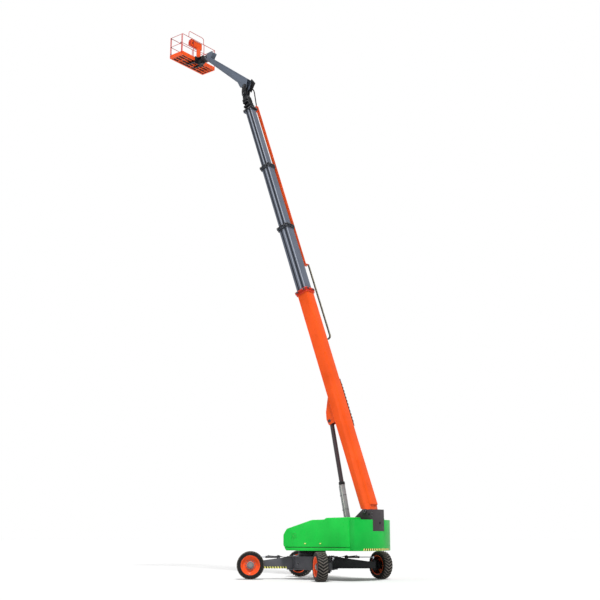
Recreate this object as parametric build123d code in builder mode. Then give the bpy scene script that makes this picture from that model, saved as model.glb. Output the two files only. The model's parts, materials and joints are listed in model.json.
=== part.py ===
from build123d import *
import os
from math import atan2, cos, degrees, hypot, radians, sin, sqrt

# A telescopic boom lift on four swing-out axle arms, standing with its boom raised.
# Millimetres. +X is the way the boom and platform point, +Y is the machine's left, +Z is up and
# the ground is z = 0. The origin lies under the middle of the whole machine, and the slewing
# axis, from which the x values below are counted, stands behind it.
slew_x = -2456.0

# Clearances
pin_gap = 0.05  # round a pin in its bore
seat_gap = 0.3  # between pieces that rest on each other
slide_gap = 0.5  # between a boom section and the head it slides through
move_gap = 6.0  # between pieces that pass each other

# Wheels
tyre_d = 1155.0
tyre_w = 445.0
tyre_bead = 178.0  # half width at the rim
bead_h = 60.0  # height of the bead's slant
shoulder_h = 90.0
tyre_crown = 22.0  # how far the shoulders lie below the tread's middle
seat_d = 740.0  # rim where the tyre sits
flange_d = 800.0
rim_wall = 16.0
flange_t = 12.0
hub_d = 300.0
hub_nose = 150.0  # how far the hub stands out of the rim's disc
spindle_d = 120.0
disc_offset = 60.0  # rim disc outside the tyre's middle
axle_z = tyre_d / 2

# Axle arms, plan positions from the slewing axis and the machine's middle
kingpin_x = 2070.0
kingpin_y = 1580.0
root_x = 700.0
root_y = 500.0
wheel_offset = 360.0  # kingpin to the tyre's middle
root_pin_d = 120.0
kingpin_d = 90.0
arm_bottom = 440.0
arm_top = 890.0
arm_tip_top = 730.0
arm_width = 280.0
arm_tip_width = 190.0

# Steering cylinders, on top of the arms beside their middle line
lever_r = 150.0
lever_turn = 140.0  # from the axle's outward direction to the lever
lever_top = 826.0
steer_y = 130.0
steer_z = 905.0
steer_barrel_d = 84.0
steer_rod_d = 40.0
steer_barrel_at = 520.0  # from the arm's root pin
steer_barrel_l = 600.0
steer_rod_l = 944.0

# Chassis
plate_t = 45.0
chassis_x = 520.0  # half length of the middle box
chassis_y = 620.0
nose_y = 300.0
deck_x = 860.0  # half length of the plates that hold the arm pins
deck_y = 655.0
tie_down_r = 40.0
tie_down_depth = 60.0
tie_down_x = 265.0
tie_down_z = 643.0
drum_d = 1180.0
ring_d = 1080.0
ring_h = 110.0

# Turret
turret_bottom = 1183.0
floor_t = 117.0
turret_half = 1268.0
turret_front = 574.0
turret_back = 2872.0  # behind the slewing axis, where the counterweight starts
hood_inner = 540.0
hood_wall = 25.0
hinge_y = 515.0
hinge_z = 2360.0
hinge_pin_d = 24.0
mast_outer = 400.0
mast_t = 40.0
mast_top = 2820.0
mast_back = 3400.0
mast_foot = 1957.0
weight_top = 2411.0
weight_side = 3110.0  # where the straight sides end, behind the slewing axis
weight_bulge = 3425.0
block_x = -900.0  # engine and tanks, from the slewing axis
block_clear = 50.0  # between them and their hoods
engine_l = 1300.0
engine_h = 760.0
tank_l = 1500.0
tank_h = 700.0

# Boom
pivot_x = -3022.0
pivot_z = 2750.0
boom_angle = 70.72
boom_pin_d = 120.0
base_start = 200.0
head_at = 10357.0  # base section's head from the boom pin
exposed = 3430.0  # length of each inner section that shows
head_length = 110.0
head_rim = 50.0
collar_length = 90.0  # lower step behind each head
section_cut = 30.0  # cut corners of the boom sections
foot_r = 180.0
foot_wall = 40.0
foot_solid = 250.0  # closed end of the base section, from the boom pin
foot_end = 1300.0
nose_at = 21560.0  # pin at the boom's nose
nose_r = 100.0
knuckle_at = 21924.0  # jib pin along the boom as it stands, and above its line
knuckle_n = 163.0
knuckle_pin_d = 90.0

# Lift cylinder
lift_foot_x = -2050.0
lift_foot_z = 1500.0
lift_pin_s = 4245.0  # upper pin along the boom, and below its line
lift_pin_n = 595.0
lift_pin_d = 100.0
bracket_heel = 4104.0  # where the bracket leaves the boom, and where it meets it again
bracket_toe = 5354.0
bracket_drop = 683.0  # its lower edge below the boom's line at the heel
bracket_t = 40.0
barrel_d = 240.0
barrel_bore = 200.0
barrel_length = 2520.0
rod_d = 190.0
rod_inside = 320.0
lift_eye_w = 210.0
lift_eye_r = 130.0

# Cable trough and energy chain, on the boom's right
trough_y = 400.0
trough_n = 160.0
trough_w = 120.0
trough_h = 90.0
trough_wall = 6.0
trough_low = 11697.0
trough_high = 20910.0
chain_y = 506.0
chain_w = 80.0
chain_h = 50.0
chain_bend_at = 8064.0
chain_bend_r = 125.0
chain_fixed_at = 9581.0

# Jib, measured along and above the line between its pins
jib_angle = 42.18
jib_length = 3619.0
jib_w = 280.0
jib_wall = 10.0
jib_start = 95.0  # the box runs from here to its fork
fork_reach = 319.0  # from the box's end to the end pin
jib_top_start = 397.0
jib_top_end = 124.0
jib_belly = 585.0  # where the lower edge turns up to the heel
jib_low_start = -51.0
jib_low_end = -122.0
jib_heel_s = 235.0
jib_heel_n = -170.0
jib_open = 850.0  # the root is open below, as far as this
jib_lug_r = 110.0
fork_half = 118.0  # half the gap of the fork at the jib's end
fork_t = 32.0
upright_t = 28.0
guard_t = 56.0
hose_d = 40.0
hose_bend = 160.0
hose_x = -154.0  # where the hose meets its guard, from the jib pin
hose_z = -25.0
crank_x = 75.0  # jib cylinder's pin from the jib pin
crank_z = -212.0
crank_r = 40.0
crank_t = 26.0
eye_half = 30.0  # half the gap between the crank's plates, where the rod's eye stands
jib_foot_s = 900.0
jib_foot_n = 230.0
jib_rod_d = 50.0
jib_barrel_d = 90.0
jib_barrel_l = 580.0
jib_rod_from = 430.0  # rod's inner end from the cylinder's foot

# Platform
rotator_x = 370.0  # from the jib's end pin
rotator_d = 220.0
rotator_h = 320.0
platform_x = 1120.0
platform_l = 894.0
platform_w = 2442.0
platform_h = 1166.0
platform_drop = 32.0  # floor's underside below the jib's end pin
floor_h = 70.0
deck_t = 4.0  # raised tread plate on the floor
floor_sheet = 12.0
floor_rim = 60.0  # frame round the floor
slat_w = 45.0
slat_pitch = 110.0
rail_d = 34.0  # posts
bar_d = 30.0  # rails between the posts
toe_h = 120.0
toe_t = 8.0
gate_hinge_in = 74.0  # gate's hinge from the platform's front face
gate_w = 742.0
console_l = 220.0
console_w = 820.0
console_h = 400.0
console_y = 150.0
panel_w = 280.0  # upright panel that carries the console
hoop_low = -350.0  # hoop rail over the console, from side to side
hoop_high = 750.0
hoop_h = 340.0
hoop_bend = 120.0

os.makedirs("parts", exist_ok=True)


def level(z, x=0.0, y=0.0):
    """The horizontal plane at height z, seen from above."""
    return Plane((slew_x + x, y, z))


def upright(y, x=0.0, z=0.0, tilt=0.0):
    """The upright plane along the machine at y, drawn from (x, z) along tilt and up from it."""
    along = (cos(radians(tilt)), 0, sin(radians(tilt)))
    return Plane((slew_x + x, y, z), x_dir=along, z_dir=(0, -1, 0))


def across(x, z, tilt=0.0, along=0.0):
    """The plane across a member that leaves (x, z) at tilt, drawn in y and up from it."""
    way = Vector(cos(radians(tilt)), 0, sin(radians(tilt)))
    return Plane(Vector(slew_x + x, 0, z) + way * along, x_dir=(0, 1, 0), z_dir=way)


def beyond(x, z, tilt, along, up=0.0):
    """The point (x, z) that lies along and up from a member that leaves (x, z) at tilt."""
    c, s = cos(radians(tilt)), sin(radians(tilt))
    return x + along * c - up * s, z + along * s + up * c


def keep(name, piece):
    """Label a finished piece and write it."""
    piece.part.label = name
    export_step(piece.part, f"parts/{name}.step")


knuckle_x, knuckle_z = beyond(pivot_x, pivot_z, boom_angle, knuckle_at, knuckle_n)
nose_x, nose_z = beyond(pivot_x, pivot_z, boom_angle, nose_at)
jib_end_x, jib_end_z = beyond(knuckle_x, knuckle_z, jib_angle, jib_length)
lift_top_x, lift_top_z = beyond(pivot_x, pivot_z, boom_angle, lift_pin_s, -lift_pin_n)
lift_angle = degrees(atan2(lift_top_z - lift_foot_z, lift_top_x - lift_foot_x))
lift_length = hypot(lift_top_z - lift_foot_z, lift_top_x - lift_foot_x)

# name, front or rear, left or right, the wheel's heading in degrees
corners = [
    ("front_left", 1, 1, 40.0),
    ("front_right", 1, -1, 16.6),
    ("rear_left", -1, 1, -40.0),
    ("rear_right", -1, -1, -16.6),
]


def arm_plane(end, hand, z):
    """The horizontal plane at an arm's root pin, with its x along the arm."""
    way = Vector(end * (kingpin_x - root_x), hand * (kingpin_y - root_y), 0)
    return Plane((slew_x + end * root_x, hand * root_y, z), x_dir=way, z_dir=(0, 0, 1))


arm_length = hypot(kingpin_x - root_x, kingpin_y - root_y)


def steer_plane(end, hand, along):
    """The plane across a steering cylinder, along its arm from the root pin."""
    arm = arm_plane(end, hand, steer_z)
    origin = arm.origin + arm.x_dir * along + arm.y_dir * (-end * hand * steer_y)
    return Plane(origin, x_dir=(0, 0, 1), z_dir=arm.x_dir)


def wheel_section(end, hand, heading, offset):
    """The upright plane through a wheel's axle, drawn outwards along the axle and up from it."""
    out = Vector(-sin(radians(heading)) * hand, cos(radians(heading)) * hand, 0)
    kingpin = Vector(slew_x + end * kingpin_x, hand * kingpin_y, axle_z)
    return Plane(kingpin + out * offset, x_dir=out, z_dir=out.cross(Vector(0, 0, 1)))


def make_tyre(plane):
    """A wide tyre with a crowned tread and bevelled shoulders."""
    half, outer, inner = tyre_w / 2, tyre_d / 2, seat_d / 2
    right_side = [
        (tyre_bead, inner), (half, inner + bead_h), (half, outer - shoulder_h),
        (half * 0.85, outer - tyre_crown), (half * 0.4, outer),
    ]
    left_side = [(-x, y) for x, y in reversed(right_side)]
    with BuildPart() as tyre:
        with BuildSketch(plane):
            with BuildLine():
                Polyline(*right_side, *left_side, close=True)
            make_face()
        revolve(axis=Axis(plane.origin, plane.x_dir))
    return tyre


def make_rim(plane):
    """A dished rim: barrel, flanges, disc and the wheel-drive hub that stands out of it."""
    seat, flange = seat_d / 2 - seat_gap, flange_d / 2
    slant = (flange_d - seat_d) / 2 / bead_h * (tyre_w / 2 - tyre_bead)
    flange_at = tyre_bead + slant + 2
    with BuildPart() as rim:
        with BuildSketch(plane):
            with Locations((0, seat - rim_wall / 2)):
                Rectangle(2 * (flange_at + flange_t), rim_wall)
            with Locations(
                (flange_at + flange_t / 2, (seat + flange - rim_wall) / 2),
                (-flange_at - flange_t / 2, (seat + flange - rim_wall) / 2),
            ):
                Rectangle(flange_t, flange - seat + rim_wall)
            with Locations((disc_offset, seat / 2)):
                Rectangle(24, seat - 4)
            with Locations((disc_offset + hub_nose / 2, hub_d / 4)):
                Rectangle(hub_nose, hub_d / 2)
        revolve(axis=Axis(plane.origin, plane.x_dir))
        with BuildSketch(Plane(plane.origin, x_dir=(0, 0, 1), z_dir=plane.x_dir)):
            Circle(spindle_d / 2 + pin_gap)
        extrude(amount=disc_offset + hub_nose / 2, both=True, mode=Mode.SUBTRACT)
    return rim


def make_knuckle(plane, turn):
    """The steered fork round the arm's end, with the drive drum and the wheel's spindle."""
    fork_out = 112.0
    with BuildPart() as knuckle:
        for low, high in ((arm_bottom - 50, arm_bottom - move_gap), (arm_tip_top + move_gap, 786)):
            with BuildSketch(Plane(plane.origin + Vector(0, 0, low - axle_z), x_dir=plane.x_dir)):
                Circle(95)
                with Locations((fork_out / 2 + 10, 0)):
                    Rectangle(fork_out + 20, 190)
            extrude(amount=high - low)
        drum = Plane(plane.origin + plane.x_dir * fork_out, x_dir=(0, 0, 1), z_dir=plane.x_dir)
        with BuildSketch(drum):
            Circle(220)
        extrude(amount=24)
        with BuildSketch(drum):
            Circle(170)
        extrude(amount=wheel_offset + disc_offset - 12 - move_gap - fork_out)
        with BuildSketch(drum):
            Circle(spindle_d / 2)
        extrude(amount=wheel_offset + disc_offset + hub_nose / 2 - move_gap - fork_out)
        with BuildSketch(Plane(plane.origin, x_dir=plane.x_dir)):
            Circle(kingpin_d / 2)
        extrude(amount=lever_top - axle_z, both=True)
        lever = plane.x_dir.rotate(Axis.Z, -lever_turn * turn)
        with BuildSketch(Plane(plane.origin + Vector(0, 0, 786 - axle_z), x_dir=lever)):
            Circle(70)
            with Locations((lever_r, 0)):
                Circle(50)
            make_hull()
        extrude(amount=lever_top - 786)
    return knuckle


def make_arm(end, hand):
    """A tapering axle arm with its root eye, kingpin eye and steering cylinder barrel."""
    side = arm_plane(end, hand, 0)
    profile = Plane(side.origin, x_dir=side.x_dir, z_dir=side.x_dir.cross(Vector(0, 0, 1)))
    with BuildPart() as arm:
        with BuildSketch(arm_plane(end, hand, arm_bottom)):
            Circle(arm_width / 2)
            with Locations((arm_length, 0)):
                Circle(arm_tip_width / 2)
            make_hull()
        extrude(amount=arm_top - arm_bottom)
        with BuildSketch(profile):
            with BuildLine():
                Polyline(
                    (300, arm_top), (arm_length - 250, arm_tip_top), (arm_length + 200, arm_tip_top),
                    (arm_length + 200, arm_top + 50), (300, arm_top + 50), close=True,
                )
            make_face()
        extrude(amount=arm_width, both=True, mode=Mode.SUBTRACT)
        with BuildSketch(arm_plane(end, hand, arm_bottom)):
            Circle(root_pin_d / 2 + pin_gap)
            with Locations((arm_length, 0)):
                Circle(kingpin_d / 2 + pin_gap)
        extrude(amount=arm_top - arm_bottom, mode=Mode.SUBTRACT)
        side_y = -end * hand * steer_y
        with BuildSketch(arm_plane(end, hand, arm_tip_top)):
            with Locations((steer_barrel_at + 50, side_y * 0.8)):
                Rectangle(140, 150)
        extrude(amount=steer_z + 60 - arm_tip_top)
        barrel = steer_plane(end, hand, steer_barrel_at)
        with BuildSketch(barrel):
            Circle(steer_barrel_d / 2)
        extrude(amount=steer_barrel_l)
        with BuildSketch(barrel.offset(60)):
            Circle(steer_rod_d / 2 + slide_gap)
        extrude(amount=steer_barrel_l, mode=Mode.SUBTRACT)
    return arm


def make_steer_rod(end, hand, heading):
    """A steering cylinder's rod, with its eye standing on the knuckle's lever."""
    turn = end * hand
    knuckle = wheel_section(end, hand, heading, 0.0)
    lever = knuckle.origin + knuckle.x_dir.rotate(Axis.Z, -lever_turn * turn) * lever_r
    reach = arm_plane(end, hand, axle_z).to_local_coords(lever).X
    with BuildPart() as rod:
        with BuildSketch(steer_plane(end, hand, reach - steer_rod_l)):
            Circle(steer_rod_d / 2)
        extrude(amount=steer_rod_l)
        with BuildSketch(Plane((lever.X, lever.Y, lever_top + seat_gap))):
            Circle(25)
        extrude(amount=steer_z + 35 - lever_top - seat_gap)
        with BuildSketch(arm_plane(end, hand, steer_z - 30)):
            with Locations((reach, -turn * steer_y)):
                Circle(48)
        extrude(amount=60)
    return rod


for name, end, hand, heading in corners:
    keep(f"axle_arm_{name}", make_arm(end, hand))
    keep(f"knuckle_{name}", make_knuckle(wheel_section(end, hand, heading, 0.0), end * hand))
    keep(f"steer_rod_{name}", make_steer_rod(end, hand, heading))
    keep(f"rim_{name}", make_rim(wheel_section(end, hand, heading, wheel_offset)))
    keep(f"tyre_{name}", make_tyre(wheel_section(end, hand, heading, wheel_offset)))

# The chassis is a box between two plates, which hold the arms' root pins.
with BuildPart() as chassis_frame:
    with BuildSketch(level(arm_bottom - plate_t - move_gap)):
        Rectangle(2 * chassis_x, 2 * chassis_y)
        Rectangle(2 * deck_x, 2 * nose_y)
    extrude(amount=arm_top - arm_bottom + 2 * plate_t + 2 * move_gap)
    for low in (arm_bottom - plate_t - move_gap, arm_top + move_gap):
        with BuildSketch(level(low)):
            Rectangle(2 * deck_x, 2 * deck_y)
        extrude(amount=plate_t)
    with BuildSketch(level(arm_bottom - plate_t - move_gap)):
        with GridLocations(2 * root_x, 2 * root_y, 2, 2):
            Circle(root_pin_d / 2)
    extrude(amount=arm_top - arm_bottom + 2 * plate_t + 2 * move_gap)
    for hand in (1, -1):
        with BuildSketch(upright(hand * chassis_y, tie_down_x, tie_down_z)):
            Circle(tie_down_r)
        extrude(amount=hand * tie_down_depth, mode=Mode.SUBTRACT)
keep("chassis_frame", chassis_frame)

deck_top = arm_top + move_gap + plate_t
with BuildPart() as slew_ring:
    with BuildSketch(level(deck_top + seat_gap)):
        Circle(drum_d / 2)
    extrude(amount=turret_bottom - seat_gap - ring_h - deck_top - seat_gap)
    with BuildSketch(level(turret_bottom - seat_gap - ring_h)):
        Circle(ring_d / 2)
    extrude(amount=ring_h)
keep("slew_ring", slew_ring)

floor_top = turret_bottom + floor_t
with BuildPart() as turret_frame:
    with BuildSketch(upright(0.0)):
        with BuildLine():
            Polyline(
                (-turret_back, turret_bottom), (turret_front - 180, turret_bottom),
                (turret_front - 90, floor_top), (-turret_back, floor_top), close=True,
            )
        make_face()
    extrude(amount=turret_half, both=True)
    for y in (mast_outer, mast_t - mast_outer):
        with BuildSketch(upright(y)):
            with BuildLine():
                Polyline(
                    (-mast_back, mast_foot), (-mast_back, mast_top), (-2885, mast_top),
                    (-2420, 2444), (-1750, 1950), (-1750, floor_top - 5),
                    (-turret_back, floor_top - 5), (-turret_back, mast_foot), close=True,
                )
            make_face()
        extrude(amount=mast_t)
    with BuildSketch(upright(0.0)):
        with Locations((-mast_back + mast_t / 2, (mast_foot + mast_top) / 2)):
            Rectangle(mast_t, mast_top - mast_foot)
    extrude(amount=mast_outer, both=True)
    with BuildSketch(upright(0.0, pivot_x, pivot_z)):
        Circle(boom_pin_d / 2)
    extrude(amount=mast_outer + 20, both=True)
    for y in (lift_eye_w / 2 + seat_gap + 45, -lift_eye_w / 2 - seat_gap):
        with BuildSketch(upright(y, lift_foot_x, lift_foot_z)):
            Circle(120)
            with Locations((0, (floor_top - lift_foot_z) / 2)):
                Rectangle(240, lift_foot_z - floor_top + 10)
        extrude(amount=45)
    with BuildSketch(upright(0.0, lift_foot_x, lift_foot_z)):
        Circle(lift_pin_d / 2)
    extrude(amount=lift_eye_w / 2 + 40, both=True)
    for hand in (1, -1):
        with BuildSketch(upright(hand * (hinge_y - 60))):
            with BuildLine():
                Polyline(
                    (-2300, floor_top - 5), (-2300, hinge_z), (-1100, hinge_z),
                    (300, 1750), (300, floor_top - 5), close=True,
                )
            make_face()
        extrude(amount=hand * 8)
        for x in (-2200, -1300):
            with BuildSketch(across(x, hinge_z)):
                with Locations((hand * (hinge_y - 30), 0)):
                    Rectangle(70, hinge_pin_d)
            extrude(amount=40)
        with BuildSketch(across(-2200, hinge_z)):
            with Locations((hand * hinge_y, 0)):
                Circle(hinge_pin_d / 2)
        extrude(amount=940)
keep("turret_frame", turret_frame)

with BuildPart() as counterweight:
    with BuildSketch(level(turret_bottom)):
        with BuildLine():
            Line((-turret_back - seat_gap, turret_half), (-turret_back - seat_gap, -turret_half))
            Line((-turret_back - seat_gap, turret_half), (-weight_side, turret_half))
            Line((-turret_back - seat_gap, -turret_half), (-weight_side, -turret_half))
            ThreePointArc((-weight_side, turret_half), (-weight_bulge, 0), (-weight_side, -turret_half))
        make_face()
    extrude(amount=weight_top - turret_bottom)
    with BuildSketch(level(mast_foot - seat_gap)):
        with Locations((-(turret_back + weight_bulge) / 2, 0)):
            Rectangle(weight_bulge - turret_back + 20, 2 * mast_outer + 2 * seat_gap)
    extrude(amount=weight_top - mast_foot + 10, mode=Mode.SUBTRACT)
keep("counterweight", counterweight)

hood_outline = [
    (-turret_back + 5, floor_top + seat_gap), (-turret_back + 5, 2504), (-1653, 2491), (-1567, 2425),
    (-917, 2414), (turret_front - 178, 2066), (turret_front, 1826), (turret_front, 1382),
    (turret_front - 84, floor_top + seat_gap),
]


def make_hood(hand):
    """A side hood: outer wall, ends and top, open below and towards the boom's channel."""
    with BuildPart() as hood:
        with BuildSketch(upright(hand * turret_half)):
            with BuildLine():
                Polyline(*hood_outline, close=True)
            make_face()
        extrude(amount=hand * (turret_half - hood_inner))
        with BuildSketch(upright(hand * (turret_half - hood_wall))):
            with BuildLine():
                Polyline(*hood_outline, close=True)
            make_face()
            offset(amount=-hood_wall, kind=Kind.INTERSECTION)
            with Locations((-1150, floor_top + 30)):
                Rectangle(3380, 80)
        extrude(amount=hand * (turret_half - hood_wall - hood_inner + 10), mode=Mode.SUBTRACT)
        for x in (-2100, -1500):
            with BuildSketch(across(x, hinge_z)):
                with Locations((hand * hinge_y, 0)):
                    Circle(24)
                with Locations((hand * (hood_inner - 6), 60)):
                    Rectangle(12, 140)
                with Locations((hand * (hood_inner - 10), 0)):
                    Rectangle(20, 24)
            extrude(amount=200)
            with BuildSketch(across(x, hinge_z)):
                with Locations((hand * hinge_y, 0)):
                    Circle(hinge_pin_d / 2 + pin_gap)
            extrude(amount=200, mode=Mode.SUBTRACT)
    return hood


keep("hood_left", make_hood(1))
keep("hood_right", make_hood(-1))

block_y = (hood_inner + turret_half - hood_wall) / 2
block_w = turret_half - hood_wall - hood_inner - 2 * block_clear
for name, y, length, height in (
    ("engine_block", -block_y, engine_l, engine_h),
    ("tank_block", block_y, tank_l, tank_h),
):
    with BuildPart() as block:
        with BuildSketch(level(floor_top + seat_gap, block_x, y)):
            Rectangle(length, block_w)
        extrude(amount=height)
    keep(name, block)

# name, width, height, wall, head from the boom pin, length
sections = [
    ("boom_base", 520.0, 560.0, 12.0, head_at, head_at - base_start),
    ("boom_section_2", 480.0, 520.0, 10.0, head_at + exposed, 9750.0),
    ("boom_section_3", 420.0, 455.0, 10.0, head_at + 2 * exposed, 9600.0),
    ("boom_section_4", 365.0, 395.0, 10.0, head_at + 3 * exposed, 9300.0),
]


def boom_across(s):
    """The plane across the boom at a distance from its pin."""
    return across(pivot_x, pivot_z, boom_angle, s)


def boom_side(y):
    """The upright plane along the boom, drawn from its pin."""
    return upright(y, pivot_x, pivot_z, boom_angle)


def cut_box(width, height, cut, mode=Mode.ADD):
    """Draw a rectangle with its corners cut off."""
    w, h = width / 2, height / 2
    Polygon(
        (w, h - cut), (w - cut, h), (cut - w, h), (-w, h - cut),
        (-w, cut - h), (cut - w, -h), (w - cut, -h), (w, cut - h), mode=mode,
    )


for i, (name, width, height, wall, head, length) in enumerate(sections):
    with BuildPart() as section:
        with BuildSketch(boom_across(head - length)):
            cut_box(width, height, section_cut)
            inner_cut = section_cut - (2 - sqrt(2)) * wall
            cut_box(width - 2 * wall, height - 2 * wall, inner_cut, Mode.SUBTRACT)
        extrude(amount=length)
        if name != "boom_section_4":
            with BuildSketch(boom_across(head - head_length - collar_length)):
                cut_box(width + head_rim, height + head_rim, section_cut)
                cut_box(width - wall, height - wall, section_cut, Mode.SUBTRACT)
            extrude(amount=collar_length)
            next_w, next_h = sections[i + 1][1:3]
            with BuildSketch(boom_across(head - head_length)):
                cut_box(width + 2 * head_rim, height + 2 * head_rim, section_cut)
                cut_box(next_w + 2 * slide_gap, next_h + 2 * slide_gap, section_cut, Mode.SUBTRACT)
            extrude(amount=head_length)
        if name in ("boom_section_2", "boom_section_3"):
            shelf = trough_n - trough_h / 2 - move_gap - 6
            with BuildSketch(boom_across(head - head_length)):
                with Locations((-(width / 2 + trough_y + trough_w / 2) / 2, shelf)):
                    Rectangle(trough_y + trough_w / 2 - width / 2, 12)
            extrude(amount=head_length)
        if name == "boom_base":
            with BuildSketch(boom_side(0)):
                Circle(foot_r)
                with Locations((base_start + 400, 0)):
                    Rectangle(400, height - 2 * section_cut)
                make_hull()
            extrude(amount=width / 2, both=True)
            with BuildSketch(boom_side(0)):
                with Locations(((foot_solid + foot_end) / 2, 0)):
                    Rectangle(foot_end - foot_solid, height - 2 * wall)
            extrude(amount=width / 2 - foot_wall, both=True, mode=Mode.SUBTRACT)
            with BuildSketch(boom_side(0)):
                Circle(110)
            extrude(amount=mast_outer - mast_t - move_gap, both=True)
            with BuildSketch(boom_side(0)):
                Circle(boom_pin_d / 2 + pin_gap)
            extrude(amount=mast_outer, both=True, mode=Mode.SUBTRACT)
            edge = wall / 2 - height / 2
            for y in (lift_eye_w / 2 + seat_gap + bracket_t, -lift_eye_w / 2 - seat_gap):
                with BuildSketch(boom_side(y)):
                    with BuildLine():
                        Polyline(
                            (bracket_heel, edge), (bracket_heel - 20, -bracket_drop),
                            (bracket_heel + 250, -bracket_drop - 40),
                            (bracket_heel + 570, 40 - bracket_drop), (bracket_toe, edge), close=True,
                        )
                    make_face()
                extrude(amount=bracket_t)
            with BuildSketch(boom_across(chain_fixed_at)):
                with Locations((-(width / 2 + chain_y + chain_w / 2) / 2, trough_n - chain_bend_r)):
                    Rectangle(chain_y + chain_w / 2 - width / 2 + 6, chain_h)
            extrude(amount=60)
        if name == "boom_section_4":
            with BuildSketch(boom_across(head - head_length)):
                Rectangle(width + 120, height + 120)
            extrude(amount=head_length + 20)
            with BuildSketch(boom_across(head)):
                cut_box(jib_w, height - 2 * section_cut, section_cut)
            extrude(amount=nose_at - head - 2 * nose_r)
            with BuildSketch(boom_side(0)):
                with Locations((nose_at, 0)):
                    Circle(nose_r)
                with Locations((nose_at - 3 * nose_r, 0)):
                    Rectangle(2 * nose_r, height - 4 * section_cut)
                make_hull()
            extrude(amount=jib_w / 2, both=True)
            with BuildSketch(boom_side(0)):
                with Locations((nose_at, 0)):
                    Circle(knuckle_pin_d / 2 + pin_gap)
            extrude(amount=jib_w, both=True, mode=Mode.SUBTRACT)
    keep(name, section)

tip = sections[3]
with BuildPart() as cable_trough:
    with BuildSketch(boom_across(trough_low)):
        with Locations((-trough_y, trough_n)):
            Rectangle(trough_w, trough_h)
        with Locations((-trough_y, trough_n + trough_wall)):
            Rectangle(trough_w - 2 * trough_wall, trough_h, mode=Mode.SUBTRACT)
    extrude(amount=trough_high - trough_low)
    with BuildSketch(boom_across(tip[4] - head_length)):
        reach = trough_y - trough_w / 2 - tip[1] / 2 - 60 - seat_gap
        with Locations((-(tip[1] / 2 + 60 + seat_gap + reach / 2 + 1), trough_n - 20)):
            Rectangle(reach + 2, 90)
    extrude(amount=head_length)
    with BuildSketch(boom_across(trough_low)):
        with Locations((-(chain_y + chain_w / 2 + trough_y - trough_w / 2) / 2, trough_n + 53)):
            Rectangle(chain_y + chain_w / 2 - trough_y + trough_w / 2, 196)
    extrude(amount=20)
keep("cable_trough", cable_trough)

chain_top = trough_n + chain_bend_r
chain_low = trough_n - chain_bend_r
with BuildPart() as energy_chain:
    with BuildSketch(boom_side(-chain_y)):
        with Locations((chain_bend_at, trough_n)):
            Circle(chain_bend_r + chain_h / 2)
            Circle(chain_bend_r - chain_h / 2, mode=Mode.SUBTRACT)
        with Locations((chain_bend_at + 200, trough_n)):
            Rectangle(400, 4 * chain_bend_r, mode=Mode.SUBTRACT)
        for end, n in ((trough_low, chain_top), (chain_fixed_at, chain_low)):
            lane = end - seat_gap - chain_bend_at
            with Locations((chain_bend_at + lane / 2, n)):
                Rectangle(lane, chain_h)
    extrude(amount=chain_w / 2, both=True)
keep("energy_chain", energy_chain)


def lift_across(s):
    """The plane across the lift cylinder at a distance from its foot pin."""
    return across(lift_foot_x, lift_foot_z, lift_angle, s)


with BuildPart() as lift_barrel:
    with BuildSketch(lift_across(150)):
        Circle(barrel_d / 2)
    extrude(amount=barrel_length - 150)
    with BuildSketch(lift_across(100)):
        Rectangle(lift_eye_w - 20, 160)
    extrude(amount=60)
    with BuildSketch(lift_across(190)):
        Circle(barrel_bore / 2)
    extrude(amount=barrel_length, mode=Mode.SUBTRACT)
    with BuildSketch(lift_across(barrel_length - 90)):
        Circle(barrel_d / 2)
        Circle(rod_d / 2 + slide_gap, mode=Mode.SUBTRACT)
    extrude(amount=90)
    with BuildSketch(upright(0, lift_foot_x, lift_foot_z, lift_angle)):
        Circle(lift_eye_r - 10)
        Circle(lift_pin_d / 2 + pin_gap, mode=Mode.SUBTRACT)
    extrude(amount=lift_eye_w / 2, both=True)
keep("lift_barrel", lift_barrel)

with BuildPart() as lift_rod:
    with BuildSketch(lift_across(barrel_length - rod_inside)):
        Circle(rod_d / 2)
    extrude(amount=lift_length - lift_eye_r + 20 - barrel_length + rod_inside)
    with BuildSketch(upright(0, lift_top_x, lift_top_z)):
        Circle(lift_eye_r)
    extrude(amount=lift_eye_w / 2, both=True)
keep("lift_rod", lift_rod)

# The upright joins the boom's nose and the jib, and stays level with the platform. Its right
# plate carries the guard that the hose ends on.
guard_outline = [(-197, 456), (-397, 200), (-139, -234), (59, 263)]
plate_at = jib_w / 2 + move_gap
with BuildPart() as jib_upright:
    for y in (plate_at + upright_t, -plate_at):
        with BuildSketch(upright(y, knuckle_x, knuckle_z)):
            Circle(jib_lug_r + 15)
            with Locations((nose_x - knuckle_x, nose_z - knuckle_z)):
                Circle(nose_r + 10)
            with Locations((crank_x, crank_z)):
                Circle(85)
            make_hull()
        extrude(amount=upright_t)
    with BuildSketch(upright(-plate_at - upright_t / 2, knuckle_x, knuckle_z)):
        with BuildLine():
            Polyline(*guard_outline, close=True)
        make_face()
    extrude(amount=upright_t / 2 + guard_t)
    for y in (eye_half + crank_t, -eye_half):
        with BuildSketch(upright(y, knuckle_x, knuckle_z)):
            Circle(knuckle_pin_d / 2 + 15)
            with Locations((crank_x, crank_z)):
                Circle(crank_r)
            make_hull()
        extrude(amount=crank_t)
    with BuildSketch(upright(0, knuckle_x, knuckle_z)):
        with Locations((0, 0), (nose_x - knuckle_x, nose_z - knuckle_z)):
            Circle(knuckle_pin_d / 2)
    extrude(amount=plate_at + upright_t + 10, both=True)
keep("jib_upright", jib_upright)

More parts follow.
